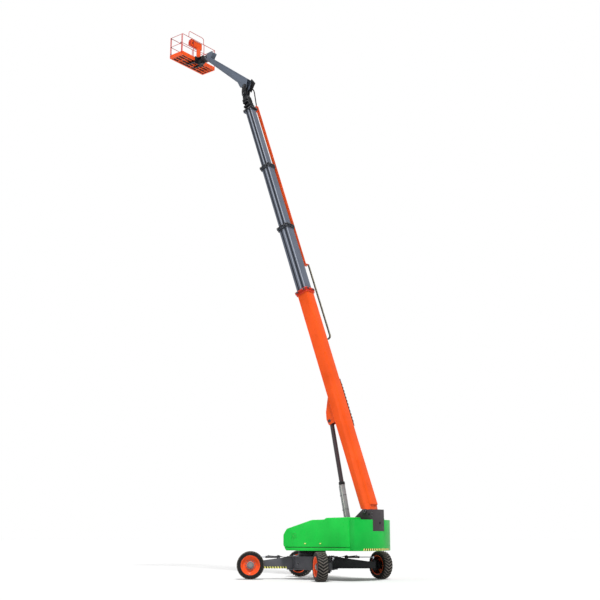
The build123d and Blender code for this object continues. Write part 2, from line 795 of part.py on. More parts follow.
hose_s, hose_n = beyond(knuckle_at, knuckle_n, -boom_angle, hose_x, hose_z)
hose_frame = boom_side(0)
hose_route = [
    hose_frame.from_local_coords((s, n, -y))
    for s, y, n in (
        (trough_high + seat_gap, -trough_y, trough_n),
        (hose_s, -trough_y, hose_n),
        (hose_s, -plate_at - upright_t - guard_t - seat_gap, hose_n),
    )
]
with BuildPart() as jib_hose:
    with BuildLine():
        FilletPolyline(*hose_route, radius=hose_bend)
    with BuildSketch(Plane(hose_route[0], z_dir=hose_route[1] - hose_route[0])):
        Circle(hose_d / 2)
    sweep()
keep("jib_hose", jib_hose)

# The jib is a tapered box, open at its root, where its cylinder lies between the side plates.
jib_end = jib_length - fork_reach
top_slope = (jib_top_end - jib_top_start) / (jib_end - jib_start)
low_slope = (jib_low_end - jib_low_start) / (jib_end - jib_belly)
with BuildPart() as jib_arm:
    jib_side = upright(0, knuckle_x, knuckle_z, jib_angle)
    with BuildSketch(jib_side):
        Circle(jib_lug_r)
        with BuildLine():
            Polyline(
                (jib_start, jib_top_start), (jib_end, jib_top_end), (jib_end, jib_low_end),
                (jib_belly, jib_low_start), (jib_heel_s, jib_heel_n), (0, -jib_lug_r),
                (-jib_lug_r, 0), close=True,
            )
        make_face()
    extrude(amount=jib_w / 2, both=True)
    inside_end = jib_end - jib_wall
    with BuildSketch(jib_side):
        with BuildLine():
            Polyline(
                (-2 * jib_lug_r, jib_top_start - jib_wall - top_slope * (jib_start + 2 * jib_lug_r)),
                (inside_end, jib_top_end - jib_wall), (inside_end, jib_low_end + jib_wall),
                (jib_open, jib_low_start + jib_wall + low_slope * (jib_open - jib_belly)),
                (jib_open, 2 * jib_heel_n), (-2 * jib_lug_r, 2 * jib_heel_n), close=True,
            )
        make_face()
    extrude(amount=jib_w / 2 - jib_wall, both=True, mode=Mode.SUBTRACT)
    for y in (jib_w / 2, 40 - jib_w / 2):
        with BuildSketch(upright(y, knuckle_x, knuckle_z, jib_angle)):
            Circle(jib_lug_r)
        extrude(amount=40)
    with BuildSketch(jib_side):
        with BuildLine():
            Polyline(
                (inside_end, jib_low_end), (inside_end, jib_top_end), (jib_end + 40, 400),
                (jib_end + 120, 405), (jib_end + 120, jib_low_end + 10), close=True,
            )
        make_face()
    extrude(amount=jib_w / 2, both=True)
    for y in (fork_half + fork_t, -fork_half):
        with BuildSketch(upright(y, knuckle_x, knuckle_z, jib_angle)):
            with Locations((jib_length, 0)):
                Circle(jib_lug_r)
            with BuildLine():
                Polyline(
                    (inside_end, jib_low_end), (inside_end, jib_top_end), (jib_end + 40, 400),
                    (jib_end + 180, 415), (jib_length + 20, 240), (jib_length + jib_lug_r, 0),
                    (jib_length, -jib_lug_r), close=True,
                )
            make_face()
        extrude(amount=fork_t)
    with BuildSketch(jib_side):
        Circle(knuckle_pin_d / 2 + pin_gap)
    extrude(amount=jib_w, both=True, mode=Mode.SUBTRACT)
    with BuildSketch(jib_side):
        with Locations((jib_length, 0)):
            Circle(knuckle_pin_d / 2)
    extrude(amount=fork_half + fork_t + 10, both=True)
keep("jib_arm", jib_arm)

crank_s, crank_n = beyond(0, 0, -jib_angle, crank_x, crank_z)
jib_cyl_length = hypot(crank_s - jib_foot_s, crank_n - jib_foot_n)
jib_cyl_angle = jib_angle + degrees(atan2(crank_n - jib_foot_n, crank_s - jib_foot_s))
foot_x, foot_z = beyond(knuckle_x, knuckle_z, jib_angle, jib_foot_s, jib_foot_n)

with BuildPart() as jib_barrel:
    with BuildSketch(across(foot_x, foot_z, jib_cyl_angle, 40)):
        Circle(jib_barrel_d / 2)
    extrude(amount=jib_barrel_l - 40)
    with BuildSketch(across(foot_x, foot_z, jib_cyl_angle, 70)):
        Circle(jib_rod_d / 2 + slide_gap)
    extrude(amount=jib_barrel_l, mode=Mode.SUBTRACT)
    with BuildSketch(upright(0, foot_x, foot_z)):
        Circle(55)
    extrude(amount=45, both=True)
    with BuildSketch(upright(0, foot_x, foot_z)):
        Circle(30)
    extrude(amount=jib_w / 2 - jib_wall - seat_gap, both=True)
keep("jib_barrel", jib_barrel)

with BuildPart() as jib_rod:
    with BuildSketch(across(foot_x, foot_z, jib_cyl_angle, jib_rod_from)):
        Circle(jib_rod_d / 2)
    extrude(amount=jib_cyl_length - jib_rod_from)
    with BuildSketch(upright(0, knuckle_x + crank_x, knuckle_z + crank_z)):
        Circle(crank_r - 2)
    extrude(amount=eye_half - seat_gap, both=True)
keep("jib_rod", jib_rod)

# The support stays level: a lug in the jib's fork, and the rotator the platform turns on.
rotator_at = jib_end_x + rotator_x
with BuildPart() as platform_support:
    with BuildSketch(upright(0, jib_end_x, jib_end_z)):
        Circle(jib_lug_r - 10)
        with Locations((rotator_x - 60, 0)):
            Rectangle(80, rotator_h - 40)
        make_hull()
    extrude(amount=fork_half - move_gap, both=True)
    with BuildSketch(level(jib_end_z - rotator_h / 2, rotator_at)):
        Circle(rotator_d / 2)
    extrude(amount=rotator_h)
    with BuildSketch(upright(0, jib_end_x, jib_end_z)):
        Circle(knuckle_pin_d / 2 + pin_gap)
    extrude(amount=fork_half, both=True, mode=Mode.SUBTRACT)
keep("platform_support", platform_support)

platform_at = jib_end_x + platform_x
platform_z = jib_end_z - platform_drop
with BuildPart() as platform_bracket:
    plates = (jib_end_z - rotator_h / 2 - seat_gap - 30, jib_end_z + rotator_h / 2 + seat_gap)
    rear = platform_at - platform_l / 2 - seat_gap
    for z in plates:
        with BuildSketch(level(z, rotator_at)):
            Circle(rotator_d / 2)
            with Locations(((rear - rotator_at) / 2, 0)):
                Rectangle(rear - rotator_at, rotator_d)
        extrude(amount=30)
    with BuildSketch(level(plates[0], rear - 25)):
        Rectangle(50, 600)
    extrude(amount=plates[1] + 30 - plates[0])
    with BuildSketch(level(platform_z - seat_gap - 80, rear + 250)):
        with Locations((0, 260), (0, -260)):
            Rectangle(600, 80)
    extrude(amount=80)
keep("platform_bracket", platform_bracket)

half_l = platform_l / 2
half_w = platform_w / 2
rail_r = rail_d / 2
bar_r = bar_d / 2
rail_top = platform_z + platform_h - rail_r
rail_mid = platform_z + platform_h * 0.55
with BuildPart() as platform_basket:
    with BuildSketch(level(platform_z, platform_at)):
        Rectangle(platform_l, platform_w)
        Rectangle(platform_l - 2 * floor_rim, platform_w - 2 * floor_rim, mode=Mode.SUBTRACT)
    extrude(amount=floor_h)
    with BuildSketch(level(platform_z + floor_h - floor_sheet, platform_at)):
        Rectangle(platform_l, platform_w)
    extrude(amount=floor_sheet)
    with BuildSketch(level(platform_z + floor_h, platform_at)):
        Rectangle(platform_l - 2 * floor_rim, platform_w - 2 * floor_rim)
    extrude(amount=deck_t)
    with BuildSketch(level(platform_z + 8, platform_at)):
        with GridLocations(slat_pitch, 1, 7, 1):
            Rectangle(slat_w, platform_w - floor_rim)
    extrude(amount=floor_h - floor_sheet)
    with BuildSketch(level(platform_z + floor_h, platform_at - half_l + rail_r)):
        with Locations((0, console_y / 15)):
            Rectangle(rail_d, panel_w)
    extrude(amount=platform_h - floor_h - rail_r - console_h - seat_gap)
    with BuildLine():
        rail_x = slew_x + platform_at - half_l + rail_r
        FilletPolyline(
            (rail_x, hoop_low, rail_top), (rail_x, hoop_low, rail_top + hoop_h),
            (rail_x, hoop_high, rail_top + hoop_h), (rail_x, hoop_high, rail_top), radius=hoop_bend,
        )
    with BuildSketch(Plane((rail_x, hoop_low, rail_top))):
        Circle(bar_r)
    sweep()
    with BuildSketch(level(platform_z + floor_h, platform_at)):
        with Locations((half_l - toe_t / 2, 0), (toe_t / 2 - half_l, 0)):
            Rectangle(toe_t, platform_w)
        with Locations((0, toe_t / 2 - half_w)):
            Rectangle(platform_l, toe_t)
    extrude(amount=toe_h)
    with BuildSketch(level(platform_z + floor_h - 5, platform_at)):
        with Locations(
            *[
                (x, y)
                for x in (rail_r - half_l, half_l - rail_r)
                for y in (rail_r - half_w, rail_r - half_w / 3, half_w / 3 - rail_r, half_w - rail_r)
            ]
        ):
            Circle(rail_r)
    extrude(amount=platform_h - floor_h + 5)
    for z in (rail_mid, rail_top):
        for x in (rail_r - half_l, half_l - rail_r):
            with BuildSketch(Plane((slew_x + platform_at + x, rail_r - half_w, z), z_dir=(0, 1, 0))):
                Circle(bar_r)
            extrude(amount=platform_w - rail_d)
        with BuildSketch(
            Plane((slew_x + platform_at - half_l + rail_r, rail_r - half_w, z), z_dir=(1, 0, 0))
        ):
            Circle(bar_r)
        extrude(amount=platform_l - rail_d)
keep("platform_basket", platform_basket)

with BuildPart() as platform_gate:
    hinge = (half_l - gate_hinge_in, half_w - rail_r)
    for x, clear in ((hinge[0], seat_gap), (hinge[0] - gate_w, deck_t + move_gap)):
        with BuildSketch(level(platform_z + floor_h + clear, platform_at + x, hinge[1])):
            Circle(bar_r)
        extrude(amount=platform_h - floor_h - rail_r - clear)
    for z in (rail_mid, rail_top):
        with BuildSketch(
            Plane((slew_x + platform_at + hinge[0] - gate_w, hinge[1], z), z_dir=(1, 0, 0))
        ):
            Circle(bar_r - 2)
        extrude(amount=gate_w)
    with BuildSketch(level(platform_z + floor_h + 10, platform_at)):
        with Locations((hinge[0] - gate_w / 2, hinge[1])):
            Rectangle(gate_w, toe_t)
    extrude(amount=toe_h - 10)
keep("platform_gate", platform_gate)

with BuildPart() as control_box:
    console_at = platform_at - half_l + rail_d + seat_gap + console_l / 2
    with BuildSketch(level(rail_top - console_h, console_at, console_y)):
        Rectangle(console_l, console_w)
    extrude(amount=console_h)
keep("control_box", control_box)
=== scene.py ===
# %% [markdown]
# # Dressing a telescopic boom lift
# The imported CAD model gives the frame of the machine: every solid, in its place, in metres.
# The x axis runs the way the boom points, y to the machine's left and z up. This lesson keeps
# the solids whose shape is right, gives them real finishes, and models with Blender's own tools
# what a plain solid can't show, such as tyre lugs, rails, grating, bolts, hoses and stripes.

# %% Load the frame
import json
import math

import bpy
from mathutils import Matrix, Vector


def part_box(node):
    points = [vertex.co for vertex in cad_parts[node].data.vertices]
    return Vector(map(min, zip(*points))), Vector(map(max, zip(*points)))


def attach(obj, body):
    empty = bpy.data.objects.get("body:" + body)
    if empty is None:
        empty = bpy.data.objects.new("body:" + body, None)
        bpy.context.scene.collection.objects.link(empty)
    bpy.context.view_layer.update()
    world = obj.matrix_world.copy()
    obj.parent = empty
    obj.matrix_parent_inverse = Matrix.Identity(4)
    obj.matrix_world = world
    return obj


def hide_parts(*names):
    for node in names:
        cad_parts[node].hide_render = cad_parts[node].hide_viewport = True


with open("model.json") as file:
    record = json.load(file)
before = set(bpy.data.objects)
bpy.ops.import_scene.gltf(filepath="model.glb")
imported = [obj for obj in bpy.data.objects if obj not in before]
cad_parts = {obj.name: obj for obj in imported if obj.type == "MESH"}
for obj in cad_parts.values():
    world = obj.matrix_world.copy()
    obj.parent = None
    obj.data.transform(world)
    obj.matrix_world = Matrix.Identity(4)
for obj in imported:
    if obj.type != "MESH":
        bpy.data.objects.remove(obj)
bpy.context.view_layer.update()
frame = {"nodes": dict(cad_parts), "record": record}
nodes = frame["nodes"]

# %% [markdown]
# ## Camera
# The photograph was taken from behind and to the left, from eye height, with the camera tilted
# up to take in the whole boom. The numbers below are where the wheels, the turret and the
# boom's heads agree with the picture. The lens is long, so the sides of the boom stay parallel.

# %% Camera
slew_x = -2.456
camera_place = (-26.904 + slew_x, 34.854, 1.766)
camera_pitch = 13.15
camera_heading = 218.339
lens_px = 1010.354
photo_px = 600
sensor_mm = 36.0

bpy.ops.object.camera_add(location=camera_place)
camera = bpy.context.object
camera.name = "photo_camera"
camera.rotation_euler = (math.radians(90 + camera_pitch), 0, math.radians(camera_heading))
camera.data.sensor_width = sensor_mm
camera.data.lens = lens_px / photo_px * sensor_mm
camera.data.clip_end = 400
bpy.context.scene.camera = camera
print("lens", round(camera.data.lens, 2), "mm")

# %% [markdown]
# ## Light and floor
# The picture is cut out on white, with a soft grey shadow below. Two broad suns stand for
# studio lamps, because a 27 m object would need lamps as big as a house. The world is grey to
# the object, and white only to camera, glossy and see-through rays, so the light stays plain.

# %% Light and floor
bpy.context.scene.view_settings.view_transform = "Standard"


def white_rays(tree):
    """Is 1 for the rays that should meet a white background."""
    path = tree.nodes.new("ShaderNodeLightPath")
    total = None
    for ray in ("Is Camera Ray", "Is Glossy Ray", "Is Transmission Ray"):
        if total is None:
            total = path.outputs[ray]
            continue
        most = tree.nodes.new("ShaderNodeMath")
        most.operation = "MAXIMUM"
        tree.links.new(total, most.inputs[0])
        tree.links.new(path.outputs[ray], most.inputs[1])
        total = most.outputs[0]
    return total


ambient = 0.36
world = bpy.data.worlds.new("studio")
bpy.context.scene.world = world
world.use_nodes = True
tree = world.node_tree
tree.nodes.clear()
sky = tree.nodes.new("ShaderNodeBackground")
sky.inputs["Strength"].default_value = ambient
backdrop = tree.nodes.new("ShaderNodeBackground")
choose = tree.nodes.new("ShaderNodeMixShader")
world_out = tree.nodes.new("ShaderNodeOutputWorld")
tree.links.new(white_rays(tree), choose.inputs[0])
tree.links.new(sky.outputs[0], choose.inputs[1])
tree.links.new(backdrop.outputs[0], choose.inputs[2])
tree.links.new(choose.outputs[0], world_out.inputs[0])
sky.inputs["Color"].default_value = (1, 1, 1, 1)
backdrop.inputs["Color"].default_value = (1, 1, 1, 1)


def add_sun(name, strength, width, toward):
    """A broad sun that shines along toward."""
    bpy.ops.object.light_add(type="SUN")
    lamp = bpy.context.object
    lamp.name = name
    lamp.data.energy = strength
    lamp.data.angle = math.radians(width)
    lamp.rotation_euler = Vector(toward).to_track_quat("-Z", "Y").to_euler()


add_sun("key_light", 2.9, 9, (0.52, -0.48, -1.05))
add_sun("fill_light", 0.35, 40, (-0.5, -0.8, -0.35))

bpy.ops.mesh.primitive_plane_add(size=600, location=(0, 0, 0))
floor = bpy.context.object
floor.name = "floor"
floor_finish = bpy.data.materials.new("studio_floor")
floor_finish.use_nodes = True
tree = floor_finish.node_tree
tree.nodes.clear()
matt = tree.nodes.new("ShaderNodeBsdfDiffuse")
matt.inputs["Color"].default_value = (0.82, 0.82, 0.82, 1)
lift = tree.nodes.new("ShaderNodeEmission")
glow = tree.nodes.new("ShaderNodeMath")
glow.operation = "MULTIPLY"
glow.inputs[1].default_value = 0.08
both = tree.nodes.new("ShaderNodeAddShader")
floor_out = tree.nodes.new("ShaderNodeOutputMaterial")
tree.links.new(white_rays(tree), glow.inputs[0])
tree.links.new(glow.outputs[0], lift.inputs["Strength"])
tree.links.new(matt.outputs[0], both.inputs[0])
tree.links.new(lift.outputs[0], both.inputs[1])
tree.links.new(both.outputs[0], floor_out.inputs[0])
floor.data.materials.append(floor_finish)
print("lamps and floor ready")

# %% [markdown]
# ## Paint
# Sprayed enamel on steel is never one flat colour. Sun and dust vary it over a metre or so, it
# has a faint orange-peel skin, dust settles on what faces up, and it rubs through along sharp
# edges. One helper builds such a paint, and each finish gives its own numbers to it.

# %% Paint helper


def linear(red, green, blue):
    """A colour picked on screen, 0 to 255 each, as the linear numbers that a shader takes."""
    parts = [v / 255 for v in (red, green, blue)]
    return tuple(v / 12.92 if v <= 0.04045 else ((v + 0.055) / 1.055) ** 2.4 for v in parts) + (1.0,)


def start_material(name):
    """A new material with its node tree, shader and object coordinates."""
    finish = bpy.data.materials.new(name)
    finish.use_nodes = True
    tree = finish.node_tree
    shader = tree.nodes["Principled BSDF"]
    where = tree.nodes.new("ShaderNodeTexCoord").outputs["Object"]
    return finish, tree, shader, where


def noise(tree, where, scale, detail=3.0, rough=0.55):
    """A noise pattern's value."""
    pattern = tree.nodes.new("ShaderNodeTexNoise")
    pattern.inputs["Scale"].default_value = scale
    pattern.inputs["Detail"].default_value = detail
    pattern.inputs["Roughness"].default_value = rough
    tree.links.new(where, pattern.inputs["Vector"])
    return pattern.outputs["Fac"]


def spread(tree, value, low, high, to_low=0.0, to_high=1.0):
    """value, stretched from low..high to to_low..to_high."""
    reach = tree.nodes.new("ShaderNodeMapRange")
    for at, number in zip(range(1, 5), (low, high, to_low, to_high)):
        reach.inputs[at].default_value = number
    tree.links.new(value, reach.inputs[0])
    return reach.outputs[0]


def compute(tree, operation, first, second):
    """One step of arithmetic. second is a socket or a number."""
    step = tree.nodes.new("ShaderNodeMath")
    step.operation = operation
    tree.links.new(first, step.inputs[0])
    if isinstance(second, (int, float)):
        step.inputs[1].default_value = second
    else:
        tree.links.new(second, step.inputs[1])
    return step.outputs[0]


def blend_colours(tree, share, first, second):
    """first where share is 0 and second where it is 1. Each is a colour or a socket."""
    mix = tree.nodes.new("ShaderNodeMix")
    mix.data_type = "RGBA"
    tree.links.new(share, mix.inputs["Factor"])
    for socket, colour in ((mix.inputs[6], first), (mix.inputs[7], second)):
        if isinstance(colour, tuple):
            socket.default_value = colour
        else:
            tree.links.new(colour, socket)
    return mix.outputs[2]


def bump(tree, shader, height, depth, strength=1.0):
    """Raise the surface by height times depth, in metres."""
    relief = tree.nodes.new("ShaderNodeBump")
    relief.inputs["Strength"].default_value = strength
    relief.inputs["Distance"].default_value = depth
    tree.links.new(height, relief.inputs["Height"])
    tree.links.new(relief.outputs[0], shader.inputs["Normal"])


def worn_edge(tree, where, radius):
    """Is 1 on sharp edges, broken up by noise."""
    rounded = tree.nodes.new("ShaderNodeBevel")
    rounded.samples = 4
    rounded.inputs["Radius"].default_value = radius
    flat = tree.nodes.new("ShaderNodeNewGeometry")
    turn = tree.nodes.new("ShaderNodeVectorMath")
    turn.operation = "DOT_PRODUCT"
    tree.links.new(rounded.outputs[0], turn.inputs[0])
    tree.links.new(flat.outputs["Normal"], turn.inputs[1])
    edge = spread(tree, turn.outputs["Value"], 0.985, 0.90)
    patches = spread(tree, noise(tree, where, 9.0), 0.48, 0.62)
    return compute(tree, "MULTIPLY", edge, patches)


def dust_on_top(tree, where, most):
    """Dust that lies where a surface faces up, in patches."""
    flat = tree.nodes.new("ShaderNodeNewGeometry")
    apart = tree.nodes.new("ShaderNodeSeparateXYZ")
    tree.links.new(flat.outputs["Normal"], apart.inputs[0])
    upward = spread(tree, apart.outputs["Z"], 0.2, 1.0, 0.15, 1.0)
    patches = spread(tree, noise(tree, where, 3.5, 6.0), 0.35, 0.75, 0.0, most)
    return compute(tree, "MULTIPLY", upward, patches)


dust_colour = linear(176, 168, 150)


def make_paint(name, colour, under, gloss=0.35, coat=0.08, dust=0.07, peel=0.0004, edge=0.006):
    """Sprayed enamel: varied colour, dust, rubbed edges that show under, and orange peel."""
    finish, tree, shader, where = start_material(name)
    faded = tuple(min(1.0, v * 1.12 + 0.006) for v in colour[:3]) + (1.0,)
    deep = tuple(v * 0.86 for v in colour[:3]) + (1.0,)
    tone = spread(tree, noise(tree, where, 0.9, 5.0), 0.3, 0.7)
    skin = blend_colours(tree, tone, deep, faded)
    skin = blend_colours(tree, dust_on_top(tree, where, dust), skin, dust_colour)
    rubbed = worn_edge(tree, where, edge)
    skin = blend_colours(tree, rubbed, skin, under)
    tree.links.new(skin, shader.inputs["Base Color"])
    dull = spread(tree, noise(tree, where, 6.0, 4.0), 0.3, 0.7, gloss - 0.06, gloss + 0.1)
    tree.links.new(compute(tree, "MAXIMUM", dull, rubbed), shader.inputs["Roughness"])
    shader.inputs["Specular IOR Level"].default_value = 0.14
    shader.inputs["Coat Weight"].default_value = coat
    shader.inputs["Coat Roughness"].default_value = 0.12
    bump(tree, shader, noise(tree, where, 90.0, 2.0), peel)
    return finish


# %% Paints
primer = linear(120, 118, 115)
bare_steel = linear(150, 148, 145)
dark_primer = linear(44, 44, 48)
finishes = {
    "body_green": make_paint("green_enamel", linear(0, 194, 62), primer, gloss=0.3, coat=0.06),
    "weight_green": make_paint(
        "green_on_cast_iron", linear(0, 176, 60), primer, gloss=0.38, coat=0.05, peel=0.002
    ),
    "boom_orange": make_paint("orange_enamel", linear(244, 84, 12), primer, gloss=0.3, coat=0.06, dust=0.02),
    "rim_orange": make_paint("orange_rim_enamel", linear(240, 84, 30), bare_steel, gloss=0.34, dust=0.1),
    "section_grey": make_paint("blue_grey_enamel", linear(90, 99, 113), bare_steel, gloss=0.33, dust=0.03),
    "mast_grey": make_paint("dark_grey_enamel", linear(54, 49, 52), bare_steel, gloss=0.42, dust=0.03),
    "chassis_grey": make_paint("chassis_enamel", linear(84, 84, 90), bare_steel, gloss=0.45, dust=0.1),
    "black_steel": make_paint("black_enamel", linear(17, 17, 21), dark_primer, gloss=0.4, dust=0.0),
}
print(len(finishes), "paints")

# %% [markdown]
# ## Steel, rubber and plastic
# Cylinder rods are hard chrome, ground along their length and faintly oily. Rubber is nearly
# black and rough, with pale dust worked into it. Moulded plastic has a fine even grain.

# %% Other finishes


def make_chrome(name, colour, gloss):
    """Ground and plated steel with a thin uneven film of oil."""
    finish, tree, shader, where = start_material(name)
    film = spread(tree, noise(tree, where, 14.0, 4.0), 0.3, 0.7)
    darker = tuple(v * 0.82 for v in colour[:3]) + (1.0,)
    tree.links.new(blend_colours(tree, film, darker, colour), shader.inputs["Base Color"])
    tree.links.new(spread(tree, film, 0.0, 1.0, gloss, gloss + 0.12), shader.inputs["Roughness"])
    shader.inputs["Metallic"].default_value = 1.0
    bump(tree, shader, noise(tree, where, 220.0, 2.0), 0.00015)
    return finish


def make_rubber(name, colour, dusty, most, grain=160.0):
    """Rubber or plastic: dull, finely grained, with dust in patches."""
    finish, tree, shader, where = start_material(name)
    patches = spread(tree, noise(tree, where, 5.0, 6.0, 0.65), 0.42, 0.72, 0.0, most)
    tree.links.new(blend_colours(tree, patches, colour, dusty), shader.inputs["Base Color"])
    tree.links.new(spread(tree, patches, 0.0, 1.0, 0.62, 0.95), shader.inputs["Roughness"])
    shader.inputs["Specular IOR Level"].default_value = 0.2
    bump(tree, shader, noise(tree, where, grain, 3.0), 0.0008)
    return finish


road_dust = linear(120, 112, 104)
finishes.update(
    rod_steel=make_chrome("chromed_rod", linear(188, 192, 198), 0.16),
    tyre=make_rubber("tyre_rubber", linear(15, 14, 14), road_dust, 0.05, 90.0),
    chain_plastic=make_rubber("chain_plastic", linear(34, 34, 36), road_dust, 0.15),
    hose_rubber=make_rubber("hose_rubber", linear(22, 22, 24), road_dust, 0.1, 300.0),
    engine=make_rubber("engine_castings", linear(92, 92, 94), linear(60, 56, 50), 0.5),
    tank=make_rubber("tank_plastic", linear(42, 42, 44), road_dust, 0.2),
)
slots = {part["node"]: part["material_slot"] for part in frame["record"]["subparts"]}
for name, obj in nodes.items():
    obj.data.materials.clear()
    obj.data.materials.append(finishes[slots[name]])
print(len(nodes), "CAD nodes finished")

# %% [markdown]
# ## Modelling helpers
# Every new piece starts as one of Blender's primitives and is shaped in edit mode, as by hand.
# A few short helpers hold the steps that come back: a chain of vertices that is filled, turned
# or made a pipe, rounded edges, and copies that carry a mesh of their own to a new place.

# %% Modelling helpers


def settle(name, place=None):
    """Name the active piece, carry it to its place and leave its origin at the world's."""
    piece = bpy.context.object
    if place is not None:
        piece.matrix_world = place @ piece.matrix_world
    bpy.ops.object.transform_apply(location=True, rotation=True, scale=True)
    piece.name = piece.data.name = name
    return piece


def hold(*pieces):
    """Select pieces and nothing else. The first is the active one."""
    bpy.ops.object.select_all(action="DESELECT")
    for piece in pieces:
        piece.select_set(True)
    bpy.context.view_layer.objects.active = pieces[0]


def soften(piece, width, steps=2, smooth=40):
    """Round the sharp edges of a piece, and shade the rest smoothly."""
    hold(piece)
    if width:
        bevel = piece.modifiers.new("edges", "BEVEL")
        bevel.width = width
        bevel.segments = steps
        bevel.limit_method = "ANGLE"
        bevel.angle_limit = math.radians(30)
        bpy.ops.object.modifier_apply(modifier=bevel.name)
    bpy.ops.object.shade_smooth_by_angle(angle=math.radians(smooth))
    return piece


def chain(points):
    """Start a mesh in edit mode as a chain of vertices through points."""
    bpy.ops.object.select_all(action="DESELECT")
    bpy.ops.mesh.primitive_plane_add(size=0.001)
    bpy.ops.object.mode_set(mode="EDIT")
    bpy.ops.mesh.select_mode(type="VERT")
    bpy.ops.mesh.select_all(action="SELECT")
    bpy.ops.mesh.merge(type="CENTER")
    bpy.ops.transform.translate(value=points[0])
    for before, after in zip(points, points[1:]):
        step = Vector(after) - Vector(before)
        bpy.ops.mesh.extrude_vertices_move(TRANSFORM_OT_translate={"value": step})
    bpy.ops.mesh.select_all(action="SELECT")


def outward():
    """Turn every face outwards and leave edit mode."""
    bpy.ops.mesh.select_all(action="SELECT")
    bpy.ops.mesh.normals_make_consistent(inside=False)
    bpy.ops.object.mode_set(mode="OBJECT")


def plate(name, points, thick, place=None, edge=0.003):
    """A plate whose outline is points in x and z, with y through its middle."""
    chain([(x, -thick / 2, z) for x, z in points])
    bpy.ops.mesh.edge_face_add()
    bpy.ops.mesh.extrude_region_move(TRANSFORM_OT_translate={"value": (0, thick, 0)})
    outward()
    return soften(settle(name, place), edge, 1)


def turned(name, points, steps, place=None, edge=0.0):
    """A shape turned about x from points of x and radius."""
    chain([(x, 0, radius) for x, radius in points])
    bpy.ops.mesh.spin(steps=steps, angle=2 * math.pi, center=(0, 0, 0), axis=(1, 0, 0))
    bpy.ops.mesh.select_all(action="SELECT")
    bpy.ops.mesh.remove_doubles(threshold=1e-5)
    outward()
    return soften(settle(name, place), edge, 1, 30)


def pipe(name, points, radius, bend=0.0, place=None, resolution=3):
    """A round bar along points, with its corners bent to a radius."""
    if len(points) == 2:
        way = Vector(points[1]) - Vector(points[0])
        bpy.ops.object.select_all(action="DESELECT")
        bpy.ops.mesh.primitive_cylinder_add(
            vertices=4 * resolution + 4, radius=radius, depth=way.length, location=(way.length / 2, 0, 0),
            rotation=(0, math.pi / 2, 0),
        )
        upright = abs(way.normalized().z) > 0.9
        piece = settle(name, facing(points[0], way, (0, 1, 0) if upright else (0, 0, 1)))
        if place is not None:
            piece.data.transform(place)
        return soften(piece, radius * 0.12, 1)
    chain(points)
    bpy.ops.mesh.bevel(offset=bend, segments=5, affect="VERTICES")
    bpy.ops.object.mode_set(mode="OBJECT")
    bpy.ops.object.convert(target="CURVE")
    line = bpy.context.object.data
    line.bevel_depth = radius
    line.bevel_resolution = resolution
    line.use_fill_caps = True
    bpy.ops.object.convert(target="MESH")
    return soften(settle(name, place), 0, 1, 60)


def slab(name, size, middle=(0, 0, 0), place=None, edge=0.003):
    """A block with rounded edges."""
    bpy.ops.object.select_all(action="DESELECT")
    bpy.ops.mesh.primitive_cube_add(size=1)
    bpy.ops.object.mode_set(mode="EDIT")
    bpy.ops.mesh.select_all(action="SELECT")
    bpy.ops.transform.resize(value=size)
    bpy.ops.transform.translate(value=middle)
    bpy.ops.object.mode_set(mode="OBJECT")
    return soften(settle(name, place), edge)


def copied(piece, name, place):
    """A copy of a piece, with its own mesh, carried by a matrix."""
    twin = piece.copy()
    twin.data = piece.data.copy()
    twin.data.transform(place)
    if place.determinant() < 0:
        twin.data.flip_normals()
    twin.name = twin.data.name = name
    bpy.context.collection.objects.link(twin)
    return twin


def joined(name, several):
    """Several pieces as one."""
    hold(*several)
    bpy.ops.object.join()
    several[0].name = several[0].data.name = name
    return several[0]


def painted(piece, finish):
    """Give a piece one finish."""
    piece.data.materials.clear()
    piece.data.materials.append(finishes[finish])
    return piece


def put(parts, finish, piece):
    """Paint a new piece and add it to the parts."""
    parts.append(painted(piece, finish))


def bolted(parts, place, model=None):
    """Add a bolt, or another model, at a place whose x points out."""
    parts.append(copied(model or bolt, "fastener", place))


def mounted(name, parts, body):
    """Join parts into one piece that rides a body."""
    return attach(joined(name, parts), body)


def facing(origin, along, up=(0, 0, 1)):
    """The matrix whose x runs along, from origin, and whose z is as near up as it can be."""
    x = Vector(along).normalized()
    y = Vector(up).cross(x).normalized()
    return Matrix.Translation(origin) @ Matrix((x, y, x.cross(y))).transposed().to_4x4()


def spots(count, radius, depth=0.0):
    """Places round the x axis, a radius out and a depth along it."""
    for k in range(count):
        turn = Matrix.Rotation(2 * math.pi * k / count, 4, "X")
        yield turn @ Matrix.Translation((depth, 0, radius))


# shift moves, and the other two lay a bolt's x along z or towards the right
shift = Matrix.Translation
onto_z = Matrix.Rotation(-math.pi / 2, 4, "Y")
onto_right = Matrix.Rotation(-math.pi / 2, 4, "Z")
joints = {joint["name"]: joint for joint in frame["record"]["behaviour"]["joints"]}
corners = ("front_left", "front_right", "rear_left", "rear_right")
slew_place = Vector(joints["slew"]["pos_m"])

# %% [markdown]
# ## Hazard paint, zinc and small plastics
# The sides carry a dashed band in yellow and black. Bolts are zinc plated, which is duller than
# chrome. Switches are moulded, so they take the plastic's grain in other colours.

